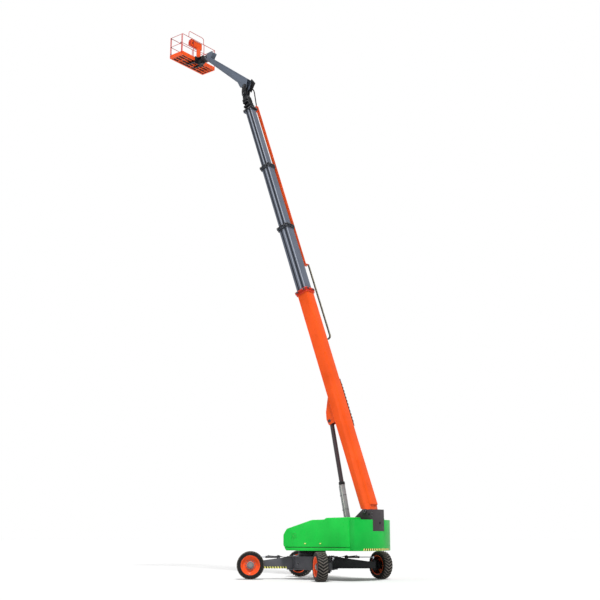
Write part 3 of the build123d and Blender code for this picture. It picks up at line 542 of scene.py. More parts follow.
# %% Small finishes
finishes.update(
    hazard_yellow=make_paint("hazard_yellow", linear(240, 234, 130), primer, gloss=0.45, dust=0.05),
    hazard_black=make_paint("hazard_black", linear(20, 20, 20), primer, gloss=0.5, dust=0.03),
    zinc=make_chrome("zinc_plate", linear(120, 121, 124), 0.42),
    stop_red=make_rubber("red_plastic", linear(190, 20, 16), road_dust, 0.05),
    # the tyre's bars are paler than its carcass: dust, and a painted highlight on the bars
    tread_worn=make_rubber("worn_tread", linear(92, 87, 82), road_dust, 0.4, 90.0),
    deep_orange=make_paint("deep_orange_enamel", linear(206, 48, 22), primer, gloss=0.4, dust=0.03),
    rail_red=make_paint("rail_enamel", linear(196, 52, 44), primer, gloss=0.4, dust=0.0),
    # the rear axle arms are darker than the front ones: painted shade from the turret above them
    dark_arm=make_paint("shaded_enamel", linear(48, 48, 52), bare_steel, gloss=0.45, dust=0.04),
    barrel_grey=make_paint("barrel_enamel", linear(128, 128, 130), bare_steel, gloss=0.35, dust=0.03),
    # the inside of the rims is dark red-brown: painted shade
    rim_inside=make_paint("rim_inside_enamel", linear(84, 26, 16), bare_steel, gloss=0.6, dust=0.02),
    # the dark red under the platform is painted shade
    grating_dark=make_paint("grating_enamel", linear(40, 22, 22), bare_steel, gloss=0.6, dust=0.0),
    tread_plate=make_paint("tread_plate", linear(176, 96, 62), bare_steel, gloss=0.55, dust=0.3),
    # the lift rod is a dark enamel: a painted reflection of dark surroundings on its chrome
    oiled_rod=make_paint(
        "oiled_rod", linear(62, 54, 58), bare_steel, gloss=0.22, coat=0.3, dust=0.0, peel=0.0
    ),
    pale_plastic=make_rubber("pale_plastic", linear(196, 186, 160), road_dust, 0.1),
    lamp_white=make_rubber("white_plastic", linear(214, 214, 208), road_dust, 0.08),
)


def make_bolt(name, across, height):
    """A hexagon head on its washer, standing on x = 0 along x."""
    lying = (0, math.pi / 2, 0)
    bpy.ops.object.select_all(action="DESELECT")
    bpy.ops.mesh.primitive_cylinder_add(
        vertices=6, radius=across / 2, depth=height, location=(height / 2, 0, 0), rotation=lying
    )
    head = soften(settle(name + "_head"), height * 0.12, 1)
    bpy.ops.object.select_all(action="DESELECT")
    bpy.ops.mesh.primitive_cylinder_add(
        vertices=12, radius=across * 0.65, depth=height * 0.2, location=(height * 0.1, 0, 0), rotation=lying
    )
    washer = settle(name + "_washer")
    return painted(joined(name, [head, washer]), "zinc")


bolt = make_bolt("bolt", 0.030, 0.014)
nut = make_bolt("wheel_nut", 0.036, 0.030)
print("bolt faces", len(bolt.data.polygons))

# %% [markdown]
# ## Wheels
# A wide tyre for rough ground has a smooth carcass and deep bars that run as a V from its middle
# over its shoulders. The carcass is a section turned about the axle. One half bar is extruded
# station by station, and turned a little about the axle at each, so that it follows the round.
# Fifty-six copies make the tread, and the tyres of the right side are mirrored, because the V
# points the same way when both sides roll forwards.

# %% Tyres
carcass_side = [
    (0.178, 0.372), (0.196, 0.385), (0.215, 0.430), (0.2225, 0.470),
    (0.217, 0.515), (0.195, 0.540), (0.090, 0.545), (0.0, 0.547),
]
carcass_loop = carcass_side + [(-x, r) for x, r in reversed(carcass_side[:-1])] + carcass_side[:1]
carcass = turned("carcass", carcass_loop, 72)

bar_count = 28
bar_w = 0.044
bar_root = 0.530
tread_r = 0.5775
bpy.ops.object.select_all(action="DESELECT")
bpy.ops.mesh.primitive_plane_add(size=1, rotation=(0, math.pi / 2, 0))
half_bar = settle("half_bar")
bpy.ops.object.mode_set(mode="EDIT")
bpy.ops.mesh.select_all(action="SELECT")
bpy.ops.transform.resize(value=(1, bar_w, tread_r - bar_root - 0.003))
bpy.ops.transform.translate(value=(0, 0, (tread_r - 0.003 + bar_root) / 2))
# step out, turn about the axle
for out, drop, turn in ((0.050, 0, 0.06), (0.055, 0, 0.065), (0.055, 0, 0.06), (0.030, 0.012, 0.05)):
    bpy.ops.mesh.extrude_region_move(TRANSFORM_OT_translate={"value": (out, 0, -drop)})
    bpy.ops.transform.rotate(value=-turn, orient_axis="X", center_override=(0, 0, 0))
bpy.ops.mesh.extrude_region_move(TRANSFORM_OT_translate={"value": (0.018, 0.012, -0.045)})
outward()
soften(half_bar, 0.005, 1)
other_half = copied(half_bar, "other_half_bar", Matrix.Scale(-1, 4, (1, 0, 0)))
bars = [half_bar, other_half]
for k in range(1, bar_count):
    turn = Matrix.Rotation(2 * math.pi * k / bar_count, 4, "X")
    bars += [copied(half_bar, "bar", turn), copied(other_half, "bar", turn)]
# the bars take the paler rubber: dust, and painted highlight
for piece in bars:
    painted(piece, "tread_worn")
tread = joined("tread", [painted(carcass, "tyre")] + bars)
print("tyre faces", len(tread.data.polygons))

# %% Wheels in place
rim_side = [
    (0.214, 0.403), (0.201, 0.403), (0.192, 0.382), (0.176, 0.3715), (-0.176, 0.3715), (-0.192, 0.382),
    (-0.201, 0.403), (-0.214, 0.403), (-0.214, 0.392), (-0.196, 0.368), (-0.170, 0.358),
    (0.010, 0.352), (0.046, 0.300), (0.048, 0.152), (0.072, 0.152), (0.074, 0.285),
    (0.100, 0.330), (0.150, 0.350), (0.190, 0.362), (0.214, 0.392), (0.214, 0.403),
]
rim = painted(turned("rim", rim_side, 64), "rim_orange")
# the faces inside the dish take the painted shade
rim.data.materials.append(finishes["rim_inside"])
for face in rim.data.polygons:
    if face.center.x < 0.04 and face.center.yz.length < 0.37:
        face.material_index = 1
hub_side = [
    (0.050, 0.0), (0.050, 0.160), (0.090, 0.160), (0.096, 0.150), (0.150, 0.146), (0.160, 0.138),
    (0.160, 0.094), (0.196, 0.090), (0.206, 0.080), (0.206, 0.030), (0.209, 0.026), (0.209, 0.0),
]
hub = painted(turned("hub", hub_side, 48), "barrel_grey")
hub_parts = [hub]
hub_parts += [copied(bolt, "hub_bolt", place) for place in spots(10, 0.118, 0.160)]
hub_parts += [copied(nut, "hub_nut", place) for place in spots(12, 0.205, 0.073)]
hub = joined("hub", hub_parts)

for corner in corners:
    joint = joints[f"wheel_{corner}_spin"]
    place = facing(joint["pos_m"], joint["axis"])
    tread_place = place
    if corner.endswith("right"):
        tread_place = place @ Matrix.Scale(-1, 4, (0, 1, 0))
    tyre = copied(tread, f"tread_{corner}", tread_place)
    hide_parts(f"tyre_{corner}")
    dish = copied(rim, f"dish_{corner}", place)
    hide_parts(f"rim_{corner}")
    drive = copied(hub, f"hub_{corner}", place)
    for piece, slot in ((tyre, "tyre"), (dish, "rim_orange"), (drive, "chassis_grey")):
        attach(piece, f"wheel_{corner}")
for piece in (tread, rim, hub):
    bpy.data.objects.remove(piece)
print("four wheels")

# %% [markdown]
# ## Crisp steelwork
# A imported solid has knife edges, which no fabricated steel has. Where the form is right, the
# solid is copied, its loose triangles are merged and flattened into whole faces, and the edges
# get a small bevel that catches the light. The copy then stands for its solid.

# %% Steelwork


def steelwork(node, body, finish, edge):
    """A copy of a CAD solid with rounded edges, which stands for it."""
    piece = copied(nodes[node], node + "_steel", Matrix.Identity(4))
    piece.parent = None
    piece.hide_render = piece.hide_viewport = False
    hold(piece)
    bpy.ops.object.mode_set(mode="EDIT")
    bpy.ops.mesh.select_all(action="SELECT")
    bpy.ops.mesh.remove_doubles(threshold=2e-5)
    bpy.ops.mesh.dissolve_limited(angle_limit=math.radians(1.5))
    bpy.ops.object.mode_set(mode="OBJECT")
    soften(painted(piece, finish), edge)
    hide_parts(node)
    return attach(piece, body)


body_of = {node: body for body, held in frame["record"]["behaviour"]["bodies"].items() for node in held}
# edge radius in metres, then the solids that take it
crisp = (
    (0.012, ("counterweight", "boom_base", "boom_section_2", "boom_section_3", "boom_section_4")),
    (0.006, ("chassis_frame", "slew_ring", "turret_frame", "jib_arm", "lift_barrel", "lift_rod")),
    (0.004, ("jib_upright", "platform_support", "platform_bracket", "jib_barrel", "jib_rod", "control_box")),
    (0.002, ("platform_basket", "platform_gate", "cable_trough", "engine_block", "tank_block")),
    (0.005, tuple(f"axle_arm_{c}" for c in corners)),
    (0.004, tuple(f"knuckle_{c}" for c in corners)),
    (0.002, tuple(f"steer_rod_{c}" for c in corners)),
)
other_finish = {
    # the lift rod takes the painted reflection
    "lift_barrel": "barrel_grey", "lift_rod": "oiled_rod",
    # the rear arms take the painted shade
    "axle_arm_rear_left": "dark_arm", "axle_arm_rear_right": "dark_arm",
}
steel = {}
for edge, names in crisp:
    for node in names:
        steel[node] = steelwork(node, body_of[node], other_finish.get(node, slots[node]), edge)
print(len(steel), "solids with rounded edges")

# %% [markdown]
# ## Two colours on the turret
# The turret's floor plate is sprayed with the hoods, in green, and only the mast and the
# channel between the hoods are dark. The floor's edge faces get the second finish.

# %% Green floor edge
turret = steel["turret_frame"]
turret.data.materials.append(finishes["body_green"])
hood_low, hood_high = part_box("hood_left")
edge_y = hood_high.y - 0.02
green_faces = 0
for face in turret.data.polygons:
    if face.center.z < hood_low.z + 0.001 and (abs(face.center.y) > edge_y or face.normal.x > 0.5):
        face.material_index = 1
        green_faces += 1
print(green_faces, "green faces")

# %% [markdown]
# ## Hoods
# The side hoods are moulded shells: a big soft radius runs round the outside and over the top,
# and they are open below and towards the boom. The outline is made a prism, its outer edges are
# bevelled wide, the open sides are deleted and Solidify gives the wall its thickness.

# %% Hoods
hood_outline = [
    (-2.867, 1.3003), (-2.867, 2.504), (-1.653, 2.491), (-1.567, 2.425), (-0.917, 2.414),
    (0.396, 2.066), (0.574, 1.826), (0.574, 1.382), (0.490, 1.3003),
]
hood_wall = 0.014
hood_round = 0.055


def make_hood(side, hand):
    """One hood: a wide-rounded shell with its seal, latches, hinges and louvres."""
    low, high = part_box(f"hood_{side}")
    inner, outer = sorted((abs(low.y), abs(high.y)))
    chain([(slew_x + x, inner, z) for x, z in hood_outline])
    bpy.ops.mesh.edge_face_add()
    bpy.ops.mesh.extrude_region_move(TRANSFORM_OT_translate={"value": (0, outer - inner, 0)})
    bpy.ops.mesh.select_all(action="SELECT")
    bpy.ops.mesh.normals_make_consistent(inside=False)
    bpy.ops.mesh.select_all(action="DESELECT")
    bpy.ops.object.mode_set(mode="OBJECT")
    shell = settle(f"hood_shell_{side}")
    points = shell.data.vertices
    for edge in shell.data.edges:
        a, b = (points[i].co for i in edge.vertices)
        at_floor = max(a.z, b.z) < low.z + 0.01
        at_channel = max(a.y, b.y) < inner + 0.01
        edge.select = not at_floor and not at_channel
    bpy.ops.object.mode_set(mode="EDIT")
    bpy.ops.mesh.select_mode(type="EDGE")
    bpy.ops.mesh.bevel(offset=hood_round, segments=5, affect="EDGES")
    bpy.ops.mesh.select_all(action="DESELECT")
    bpy.ops.object.mode_set(mode="OBJECT")
    for face in shell.data.polygons:
        face.select = face.normal.z < -0.99 and face.center.z < low.z + 0.01
        face.select = face.select or (face.normal.y < -0.99 and face.center.y < inner + 0.01)
    bpy.ops.object.mode_set(mode="EDIT")
    bpy.ops.mesh.select_mode(type="FACE")
    bpy.ops.mesh.delete(type="FACE")
    bpy.ops.object.mode_set(mode="OBJECT")
    wall = shell.modifiers.new("wall", "SOLIDIFY")
    wall.thickness = hood_wall
    wall.offset = -1
    bpy.ops.object.modifier_apply(modifier=wall.name)
    bpy.ops.object.shade_smooth_by_angle(angle=math.radians(35))
    painted(shell, "body_green")
    parts = [shell]
    # rubber seal along the lower edge
    put(parts, "hose_rubber", slab(
        "seal", (2.95, 0.012, 0.016), (slew_x - 1.15, outer - 0.008, low.z + 0.010), edge=0.003,
    ))
    # two latches
    for x in (-1.40, -0.61):
        place = shift((slew_x + x, outer, 1.48))
        dish = slab("latch_dish", (0.150, 0.010, 0.100), (0, 0.001, 0), place, 0.004)
        paddle = slab("latch_paddle", (0.080, 0.014, 0.034), (0, 0.008, -0.014), place, 0.004)
        lock = pipe("latch_lock", [(0.035, 0.004, 0.026), (0.035, 0.020, 0.026)], 0.010, place=place)
        parts += [painted(dish, "body_green"), painted(paddle, "hazard_yellow"), painted(lock, "zinc")]
    # hinge barrels on straps
    hinge = joints[f"hood_{side}_hinge"]["pos_m"]
    for x in (-2.0, -1.4):
        place = shift((slew_x + x, abs(hinge[1]), hinge[2]))
        barrel = pipe("barrel", [(-0.10, 0, 0), (0.10, 0, 0)], 0.022, place=place)
        strap = slab("strap", (0.12, 0.026, 0.120), (0, 0.022, 0.058), place, 0.003)
        parts += [painted(barrel, "black_steel"), painted(strap, "body_green")]
        for dx in (-0.035, 0.035):
            head = place @ shift((dx, 0.010, 0.090)) @ onto_right
            bolted(parts, head)
    # louvres near the front
    for row in range(5):
        place = shift((slew_x - 0.02, outer - 0.001, 1.66 + 0.05 * row))
        tilt = Matrix.Rotation(math.radians(-28), 4, "X")
        put(parts, "body_green", slab("louvre", (0.26, 0.014, 0.032), (0, 0, 0), place @ tilt, 0.003))
    whole = joined(f"hood_cover_{side}", parts)
    if hand < 0:
        bpy.context.view_layer.objects.active = whole
        whole.data.transform(Matrix.Scale(-1, 4, (0, 1, 0)))
        whole.data.flip_normals()
    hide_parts(f"hood_{side}")
    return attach(whole, f"hood_{side}")


for side, hand in (("left", 1), ("right", -1)):
    hood = make_hood(side, hand)
    print(hood.name, len(hood.data.polygons), "faces")

# %% [markdown]
# ## Dashed warning band
# A band of yellow and black dashes runs round the back of the counterweight, at its lower edge,
# and along both sides of the two front axle arms. Each dash is a thin leaning plate on its
# surface. The dashes follow the round of the counterweight, whose radius comes from its own box.

# %% Warning bands
dash_w = 0.055
dash_h = 0.080
lean = 0.030


def make_band(name, places, body):
    """Dashes, yellow and black in turn, on a list of places whose x runs along and y outwards."""
    leaning = [(0, -dash_h / 2), (dash_w, -dash_h / 2), (dash_w + lean, dash_h / 2), (lean, dash_h / 2)]
    dash = plate("dash", leaning, 0.0014, None, 0.0)
    parts = []
    for k, place in enumerate(places):
        put(parts, ("hazard_yellow", "hazard_black")[k % 2], copied(dash, "dash", place))
    bpy.data.objects.remove(dash)
    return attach(joined(name, parts), body)


def arm_line(corner):
    """An axle arm's root, and the level way from there to its kingpin."""
    root = Vector(joints[f"arm_swing_{corner}"]["pos_m"])
    king = Vector(joints[f"steer_{corner}"]["pos_m"])
    return root, (king - root) * Vector((1, 1, 0))


weight_low, weight_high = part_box("counterweight")
half_width = weight_high.y
side_length = 0.236
corner_dashes = 7
bulge = weight_high.x - weight_low.x - side_length
back_r = (half_width ** 2 + bulge ** 2) / (2 * bulge)
back_middle = weight_low.x + back_r
band_z = weight_low.z + 0.055
reach = math.asin(half_width / back_r)
steps = int(2 * reach * back_r / dash_w)
around = []
for k in range(corner_dashes, steps - corner_dashes + 1):
    turn = math.pi - reach + 2 * reach * k / steps
    spot = Vector((back_middle + back_r * math.cos(turn), back_r * math.sin(turn), band_z))
    around.append(facing(spot, (math.sin(turn), -math.cos(turn), 0)) @ Matrix.Rotation(math.pi, 4, "Z"))
make_band("weight_band", around, "turret")
root_r, tip_r = 0.140, 0.095
band_start, arm_dashes = 0.20, 20
for corner in ("front_left", "front_right"):
    root, along = arm_line(corner)
    arm_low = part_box(f"axle_arm_{corner}")[0]
    taper = math.asin((root_r - tip_r) / along.length)
    places = []
    for hand in (1, -1):
        side = facing((root.x, root.y, arm_low.z + 0.040), along) @ Matrix.Rotation(-hand * taper, 4, "Z")
        side = side @ shift((0, hand * (root_r + 0.0008), 0))
        places += [side @ shift((band_start + dash_w * k, 0, 0)) for k in range(arm_dashes)]
    make_band(f"arm_band_{corner}", places, f"arm_{corner}")
print(len(around), "dashes on the counterweight")

# %% [markdown]
# ## Chassis and slewing ring
# Pins carry the axle arms between the chassis's plates. Each is held by a keeper plate with two
# bolts. The sides have ribs and a ring round a hole for tying the machine down. The slewing ring
# is bolted all round, and its teeth show below the turret.

# %% Chassis fastenings
keeper = painted(slab("keeper", (0.150, 0.050, 0.012), (0, 0, 0.006), edge=0.003), "zinc")
cap_side = [(0, 0), (0, 0.075), (0.012, 0.075), (0.020, 0.066), (0.020, 0)]
cap = painted(turned("pin_cap", cap_side, 32), "chassis_grey")
chassis_low, chassis_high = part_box("chassis_frame")
fastenings = []
for corner in corners:
    root = joints[f"arm_swing_{corner}"]["pos_m"]
    out_x = 1 if "front" in corner else -1
    for z, up in ((chassis_high.z, 1), (chassis_low.z, -1)):
        at = shift((root[0], root[1], z)) @ Matrix.Scale(up, 4, (0, 0, 1))
        bolted(fastenings, at @ onto_z, cap)
        plate_at = at @ shift((-out_x * 0.115, 0, 0))
        bolted(fastenings, plate_at, keeper)
        for dx in (-0.05, 0.05):
            bolted(fastenings, plate_at @ shift((dx, 0, 0.012)) @ onto_z)
eye_side = [(0, 0.041), (0, 0.066), (0.012, 0.062), (0.012, 0.045), (0, 0.041)]
for hand in (1, -1):
    hole = facing((slew_place.x + 0.265, hand * 0.62, 0.643), (0, hand, 0))
    put(fastenings, "zinc", turned("tie_down_eye", eye_side, 28, hole))
    for x in (-0.46, 0.46):
        middle = (slew_place.x + x, hand * 0.63, 0.665)
        put(fastenings, "chassis_grey", slab("side_rib", (0.030, 0.030, 0.42), middle, edge=0.006))
ring_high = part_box("slew_ring")[1]
drum_top = chassis_high.z + 0.131
for place in spots(40, 0.565):
    bolted(fastenings, shift((slew_place.x, 0, drum_top)) @ onto_z @ place)
fastened = mounted("chassis_fastenings", fastenings, "chassis")
for piece in (keeper, cap):
    bpy.data.objects.remove(piece)

tooth = slab("tooth", (0.034, 0.024, 0.085), (0.556, 0, 0), edge=0.004)
painted(tooth, "black_steel")
tooth_count = 72
ring_middle = shift((slew_place.x, 0, ring_high.z - 0.055))
teeth = []
for k in range(tooth_count):
    bolted(teeth, ring_middle @ Matrix.Rotation(2 * math.pi * k / tooth_count, 4, "Z"), tooth)
bpy.data.objects.remove(tooth)
mounted("ring_teeth", teeth, "chassis")
print(len(fastened.data.polygons), "faces of fastenings")

# %% [markdown]
# ## Steering cylinders and their hoses
# Each steering cylinder lies on its arm. Two hoses leave its ports, lie along the arm and end
# at the chassis. They are clamped down, so they are modelled as bent pipes that ride the arm.

# %% Arm hoses
for corner in corners:
    root, along = arm_line(corner)
    place = facing((root.x, root.y, 0), along)
    hand = 1 if corner in ("front_right", "rear_left") else -1
    side = 0.130 * hand
    parts = []
    for k, (port, lane) in enumerate(((0.60, 0.035), (1.02, 0.065))):
        y = side - hand * (0.10 + lane)
        top = 0.905 if k else 0.900
        route = [
            (port, side, 0.945), (port, side, 0.985), (port - 0.05, y, 0.960), (0.36, y, top),
            (0.10, y * 0.6, top),
        ]
        put(parts, "hose_rubber", pipe("arm_hose", route, 0.011, 0.030, place))
        put(parts, "zinc", pipe("fitting", [(port, side, 0.940), (port, side, 0.966)], 0.017, place=place))
    put(parts, "black_steel", pipe(
        "gland", [(1.085, side, 0.905), (1.122, side, 0.905)], 0.050, place=place, resolution=7,
    ))
    for x in (0.62, 0.86):
        put(parts, "zinc", slab(
            "clamp", (0.030, 0.150, 0.014), (x, side - hand * 0.11, 0.918), place, 0.003,
        ))
    mounted(f"arm_hoses_{corner}", parts, f"arm_{corner}")
print("hoses on four arms")

# %% [markdown]
# ## Boom pins and lift cylinder
# Big pins end in turned caps with a ring of bolts. The lift cylinder has a screwed gland where
# its rod leaves it, a port block near its foot and a steel pipe, clamped along the barrel, that
# feeds the rod side.

# %% Pins and lift cylinder
pivot = Vector(joints["boom_lift"]["pos_m"])
boom_way = Vector(joints["section_2_slide"]["axis"])
boom = facing(pivot, boom_way)
lift_foot = Vector(joints["lift_swing"]["pos_m"])
lift_way = Vector(joints["lift_stroke"]["axis"])
lift = facing(lift_foot, lift_way)
jib_pin = Vector(joints["jib_lift"]["pos_m"])
nose_pin = Vector(joints["jib_level"]["pos_m"])
jib_end_pin = Vector(joints["platform_level"]["pos_m"])
jib = facing(jib_pin, jib_end_pin - jib_pin)


def pin_cap(name, radius, count):
    """A turned cap with bolts, standing on x = 0 along x."""
    disc = [(0, 0), (0, radius), (0.014, radius), (0.022, radius * 0.9), (0.022, radius * 0.45),
            (0.028, radius * 0.4), (0.028, 0)]
    parts = [painted(turned("cap_disc", disc, 40), "black_steel")]
    parts += [copied(bolt, "cap_bolt", place) for place in spots(count, radius * 0.68, 0.022)]
    return joined(name, parts)


# name, body, middle, half length, radius, bolts
pins = (
    ("boom_pin_cap", "turret", pivot, 0.420, 0.085, 6),
    ("lift_foot_cap", "turret", lift_foot, 0.151, 0.065, 4),
    ("jib_pin_cap", "jib_upright", jib_pin, 0.184, 0.062, 4),
    ("nose_pin_cap", "jib_upright", nose_pin, 0.184, 0.062, 4),
    ("end_pin_cap", "jib_arm", jib_end_pin, 0.160, 0.058, 4),
    ("lift_top_cap", "boom_base", boom @ Vector((4.245, 0, -0.595)), 0.1455, 0.070, 4),
)
for name, body, middle, half, radius, count in pins:
    model = pin_cap("cap", radius, count)
    pair = []
    for hand in (1, -1):
        out = half
        if body == "jib_upright" and hand < 0:
            out = half + 0.046
        pair.append(copied(model, name, facing(middle + Vector((0, hand * out, 0)), (0, hand, 0))))
    bpy.data.objects.remove(model)
    mounted(name, pair, body)

barrel_end = 2.520
parts = []
gland_side = [
    (-0.11, 0.118), (-0.11, 0.132), (-0.02, 0.132), (0.0, 0.126), (0.012, 0.110), (0.012, 0.0965),
    (-0.02, 0.0965), (-0.11, 0.118),
]
put(parts, "black_steel", turned("lift_gland", gland_side, 48, lift @ shift((barrel_end, 0, 0))))
put(parts, "black_steel", slab("port_block", (0.110, 0.090, 0.070), (0.330, 0, -0.145), lift, 0.006))
feed_route = [(0.37, 0.02, -0.150), (0.50, 0.02, -0.150), (2.36, 0.02, -0.150), (2.43, 0.02, -0.110)]
put(parts, "zinc", pipe("feed_pipe", feed_route, 0.011, 0.03, lift))
for s in (0.75, 1.35, 1.95):
    band_side = [(s, 0.119), (s, 0.123), (s + 0.04, 0.123), (s + 0.04, 0.119), (s, 0.119)]
    put(parts, "zinc", turned("clamp_band", band_side, 48, lift))
    put(parts, "black_steel", slab("saddle", (0.040, 0.060, 0.036), (s + 0.02, 0.02, -0.140), lift, 0.004))
mounted("lift_fittings", parts, "lift_barrel")
print(len(pins), "pins")

# %% [markdown]
# ## Boom sections
# The sides of each section are pressed into long shallow folds, and its bent corners catch the
# light. The folds are a few millimetres deep, so their shade is painted into the colour as darker
# bands, and the light on the corners as a painted highlight, by how far a point lies above the
# middle line of the boom.

# %% Painted shade and highlights on the sections


def above_boom(tree, where):
    """How far a point lies above the boom's middle line, in metres."""
    up = boom.to_3x3() @ Vector((0, 0, 1))
    from_pin = tree.nodes.new("ShaderNodeVectorMath")
    from_pin.operation = "SUBTRACT"
    from_pin.inputs[1].default_value = pivot
    tree.links.new(where, from_pin.inputs[0])
    height = tree.nodes.new("ShaderNodeVectorMath")
    height.operation = "DOT_PRODUCT"
    height.inputs[1].default_value = up
    tree.links.new(from_pin.outputs[0], height.inputs[0])
    return height.outputs["Value"]


def folded(finish, colour, bands, soft=0.008):
    """Paint shade or highlight in bands, each a middle and a half width above the boom's line."""
    tree = finish.node_tree
    shader = tree.nodes["Principled BSDF"]
    where = tree.nodes["Texture Coordinate"].outputs["Object"]
    height = above_boom(tree, where)
    total = None
    for middle, half in bands:
        off = compute(tree, "ABSOLUTE", compute(tree, "SUBTRACT", height, middle), 0)
        band = spread(tree, off, half - soft, half + soft, 1.0, 0.0)
        total = band if total is None else compute(tree, "MAXIMUM", total, band)
    link = shader.inputs["Base Color"].links[0]
    skin = blend_colours(tree, total, link.from_socket, colour)
    tree.links.new(skin, shader.inputs["Base Color"])
    return finish


# painted shade for the folds, and a painted highlight for the corners
fold_shade, fold_glint = linear(34, 37, 45), linear(176, 182, 194)


def folded_paint(height):
    """The grey with painted shade in two folds a side, and painted highlights between them and on the
    corner.
    """
    paint = make_paint("folded_grey_enamel", linear(98, 105, 119), bare_steel, gloss=0.33, dust=0.02)
    folded(paint, fold_shade, ((-0.23 * height, 0.036), (0.24 * height, 0.040)))
    return folded(paint, fold_glint, ((0.01, 0.018), (height / 2 - 0.030, 0.013)))


# body, name, head, width and height, and what its rings are painted
heads = (
    ("boom_base", 10.357, 0.520, 0.560, "deep_orange"),
    ("boom_section_2", 13.787, 0.480, 0.520, "section_grey"),
    ("boom_section_3", 17.217, 0.420, 0.455, "section_grey"),
    ("boom_section_4", 20.647, 0.365, 0.395, "black_steel"),
)
to_boom = boom.inverted()
for body, head, width, height, ring_finish in heads:
    piece = steel[body]
    collar = 0.20 if body != "boom_section_4" else 0.11
    if body != "boom_base":
        # each section's grey takes the painted fold shade and highlights
        finishes["folded_grey"] = folded_paint(height)
        painted(piece, "folded_grey")
    for finish in (ring_finish, "black_steel", "deep_orange"):
        piece.data.materials.append(finishes[finish])
    for face in piece.data.polygons:
        s, y, n = to_boom @ face.center
        off = abs(y) > width / 2 + 0.004 or abs(n) > height / 2 + 0.004
        if off and head - collar - 0.01 < s < head + 0.01:
            face.material_index = 1
        if "section" in body and y < -width / 2 - 0.056 and s < head + 0.01:
            face.material_index = 3
        if body == "boom_section_4" and s > head + 0.01:
            face.material_index = 2
print("sections painted")

# %% [markdown]
# ## Rings, pads and studs on the heads
# A head is a thick ring that is welded on the end of its section. Both its rims have a dark
# flange, and the wear pads that the next section slides on are held by studded plates.

# %% Heads
def ring(name, width, height, cut, wall, place, reach):
    """A flange round a boom section, with cut corners."""
    w, h = width / 2, height / 2
    loop = [
        (w, h - cut), (w - cut, h), (cut - w, h), (-w, h - cut),
        (-w, cut - h), (cut - w, -h), (w - cut, -h), (w, cut - h),
    ]
    chain([(0, y, z) for y, z in loop + loop[:1]])
    bpy.ops.mesh.remove_doubles(threshold=1e-5)
    bpy.ops.mesh.extrude_region_move(TRANSFORM_OT_translate={"value": (reach, 0, 0)})
    outward()
    piece = settle(name, place)
    skin = piece.modifiers.new("wall", "SOLIDIFY")
    skin.thickness = wall
    skin.offset = 1
    bpy.ops.object.modifier_apply(modifier=skin.name)
    return soften(piece, 0.003, 1)


pad = slab("pad", (0.080, 0.120, 0.022), (0, 0, 0.011), edge=0.004)
pad_parts = [painted(pad, "black_steel")]
for dx, dy in ((-0.022, -0.040), (-0.022, 0.040), (0.022, -0.040), (0.022, 0.040)):
    spot = shift((dx, dy, 0.022)) @ onto_z
    bolted(pad_parts, spot)
keeper = joined("pad_keeper", pad_parts)
for body, head, width, height, ring_finish in heads:
    collar_extra = 0.120 if body == "boom_section_4" else 0.100
    outer_w, outer_h = width + collar_extra, height + collar_extra
    parts = []
    flange_finish = "deep_orange" if body == "boom_base" else "black_steel"
    for at, reach in ((-0.062, 0.062), (-0.110, 0.014)):
        place = boom @ shift((head + at, 0, 0))
        put(parts, flange_finish, ring("flange", outer_w, outer_h, 0.030, 0.020, place, reach))
    if body != "boom_section_4":
        place = boom @ shift((head - 0.200, 0, 0))
        put(parts, flange_finish, ring("flange", width + 0.050, height + 0.050, 0.030, 0.018, place, 0.062))
    # none on the right, where the trough passes
    for quarter, out, across in ((0, outer_h, outer_w), (2, outer_h, outer_w), (3, outer_w, outer_h)):
        face = boom @ shift((head - 0.056, 0, 0)) @ Matrix.Rotation(quarter * math.pi / 2, 4, "X")
        for dy in (-across * 0.30, across * 0.30):
            bolted(parts, face @ shift((0, dy, out / 2)), keeper)
    mounted(f"{body}_head", parts, body)
bpy.data.objects.remove(keeper)
print(len(heads), "heads")

# %% [markdown]
# ## Energy chain
# The hoses for the platform run in a chain of plastic links. It lies along the right side of the
# boom, turns round at its lower bend and ends at the trough. One link is two lapped side plates
# and two crossbars. The copies stand along the chain's path, a pitch apart.

# %% Energy chain
link_pitch = 0.095
link_h = 0.050
lane_y = -0.506
bend_s, bend_n, bend_r = 8.064, 0.160, 0.125
trough_low, trough_high = 11.697, 20.910
chain_start, chain_end = trough_low - 0.02, 9.581
half_pitch, half_h = link_pitch / 2, link_h / 2
link_end, end_h = half_pitch + 0.010, 0.012
link_side = [
    (-link_end, -end_h), (-half_pitch, -half_h), (half_pitch, -half_h), (link_end, -end_h),
    (link_end, end_h), (half_pitch, half_h), (-half_pitch, half_h), (-link_end, end_h),
]
link_parts = []
for y in (-0.036, 0.036):
    side = plate("link_side", link_side, 0.006, shift((0, y, 0)), 0)
    boss = turned("link_pin", [(-0.005, 0), (-0.005, 0.013), (0.005, 0.013), (0.005, 0)], 8)
    boss.data.transform(shift((half_pitch, y, 0)) @ Matrix.Rotation(math.pi / 2, 4, "Z"))
    link_parts += [painted(side, "chain_plastic"), painted(boss, "chain_plastic")]
for x in (-0.024, 0.024):
    for z in (-half_h + 0.003, half_h - 0.003):
        put(link_parts, "pale_plastic", slab("link_bar", (0.020, 0.070, 0.005), (x, 0, z), edge=0))
link = joined("link", link_parts)


def chain_spot(way):
    """The place of a link, a way along the chain from its upper end."""
    upper = chain_start - bend_s
    round_way = math.pi * bend_r
    if way < upper:
        return shift((chain_start - way, lane_y, bend_n + bend_r)) @ Matrix.Rotation(math.pi, 4, "Y")
    if way < upper + round_way:
        turn = (way - upper) / bend_r
        middle = shift((bend_s, lane_y, bend_n)) @ Matrix.Rotation(math.pi - turn, 4, "Y")
        return middle @ shift((0, 0, -bend_r))
    return shift((bend_s + way - upper - round_way, lane_y, bend_n - bend_r))


chain_length = chain_start - bend_s + math.pi * bend_r + chain_end - bend_s
link_count = int(chain_length / link_pitch)
run = [copied(link, "link", boom @ chain_spot(link_pitch * (k + 0.5))) for k in range(link_count)]
bpy.data.objects.remove(link)
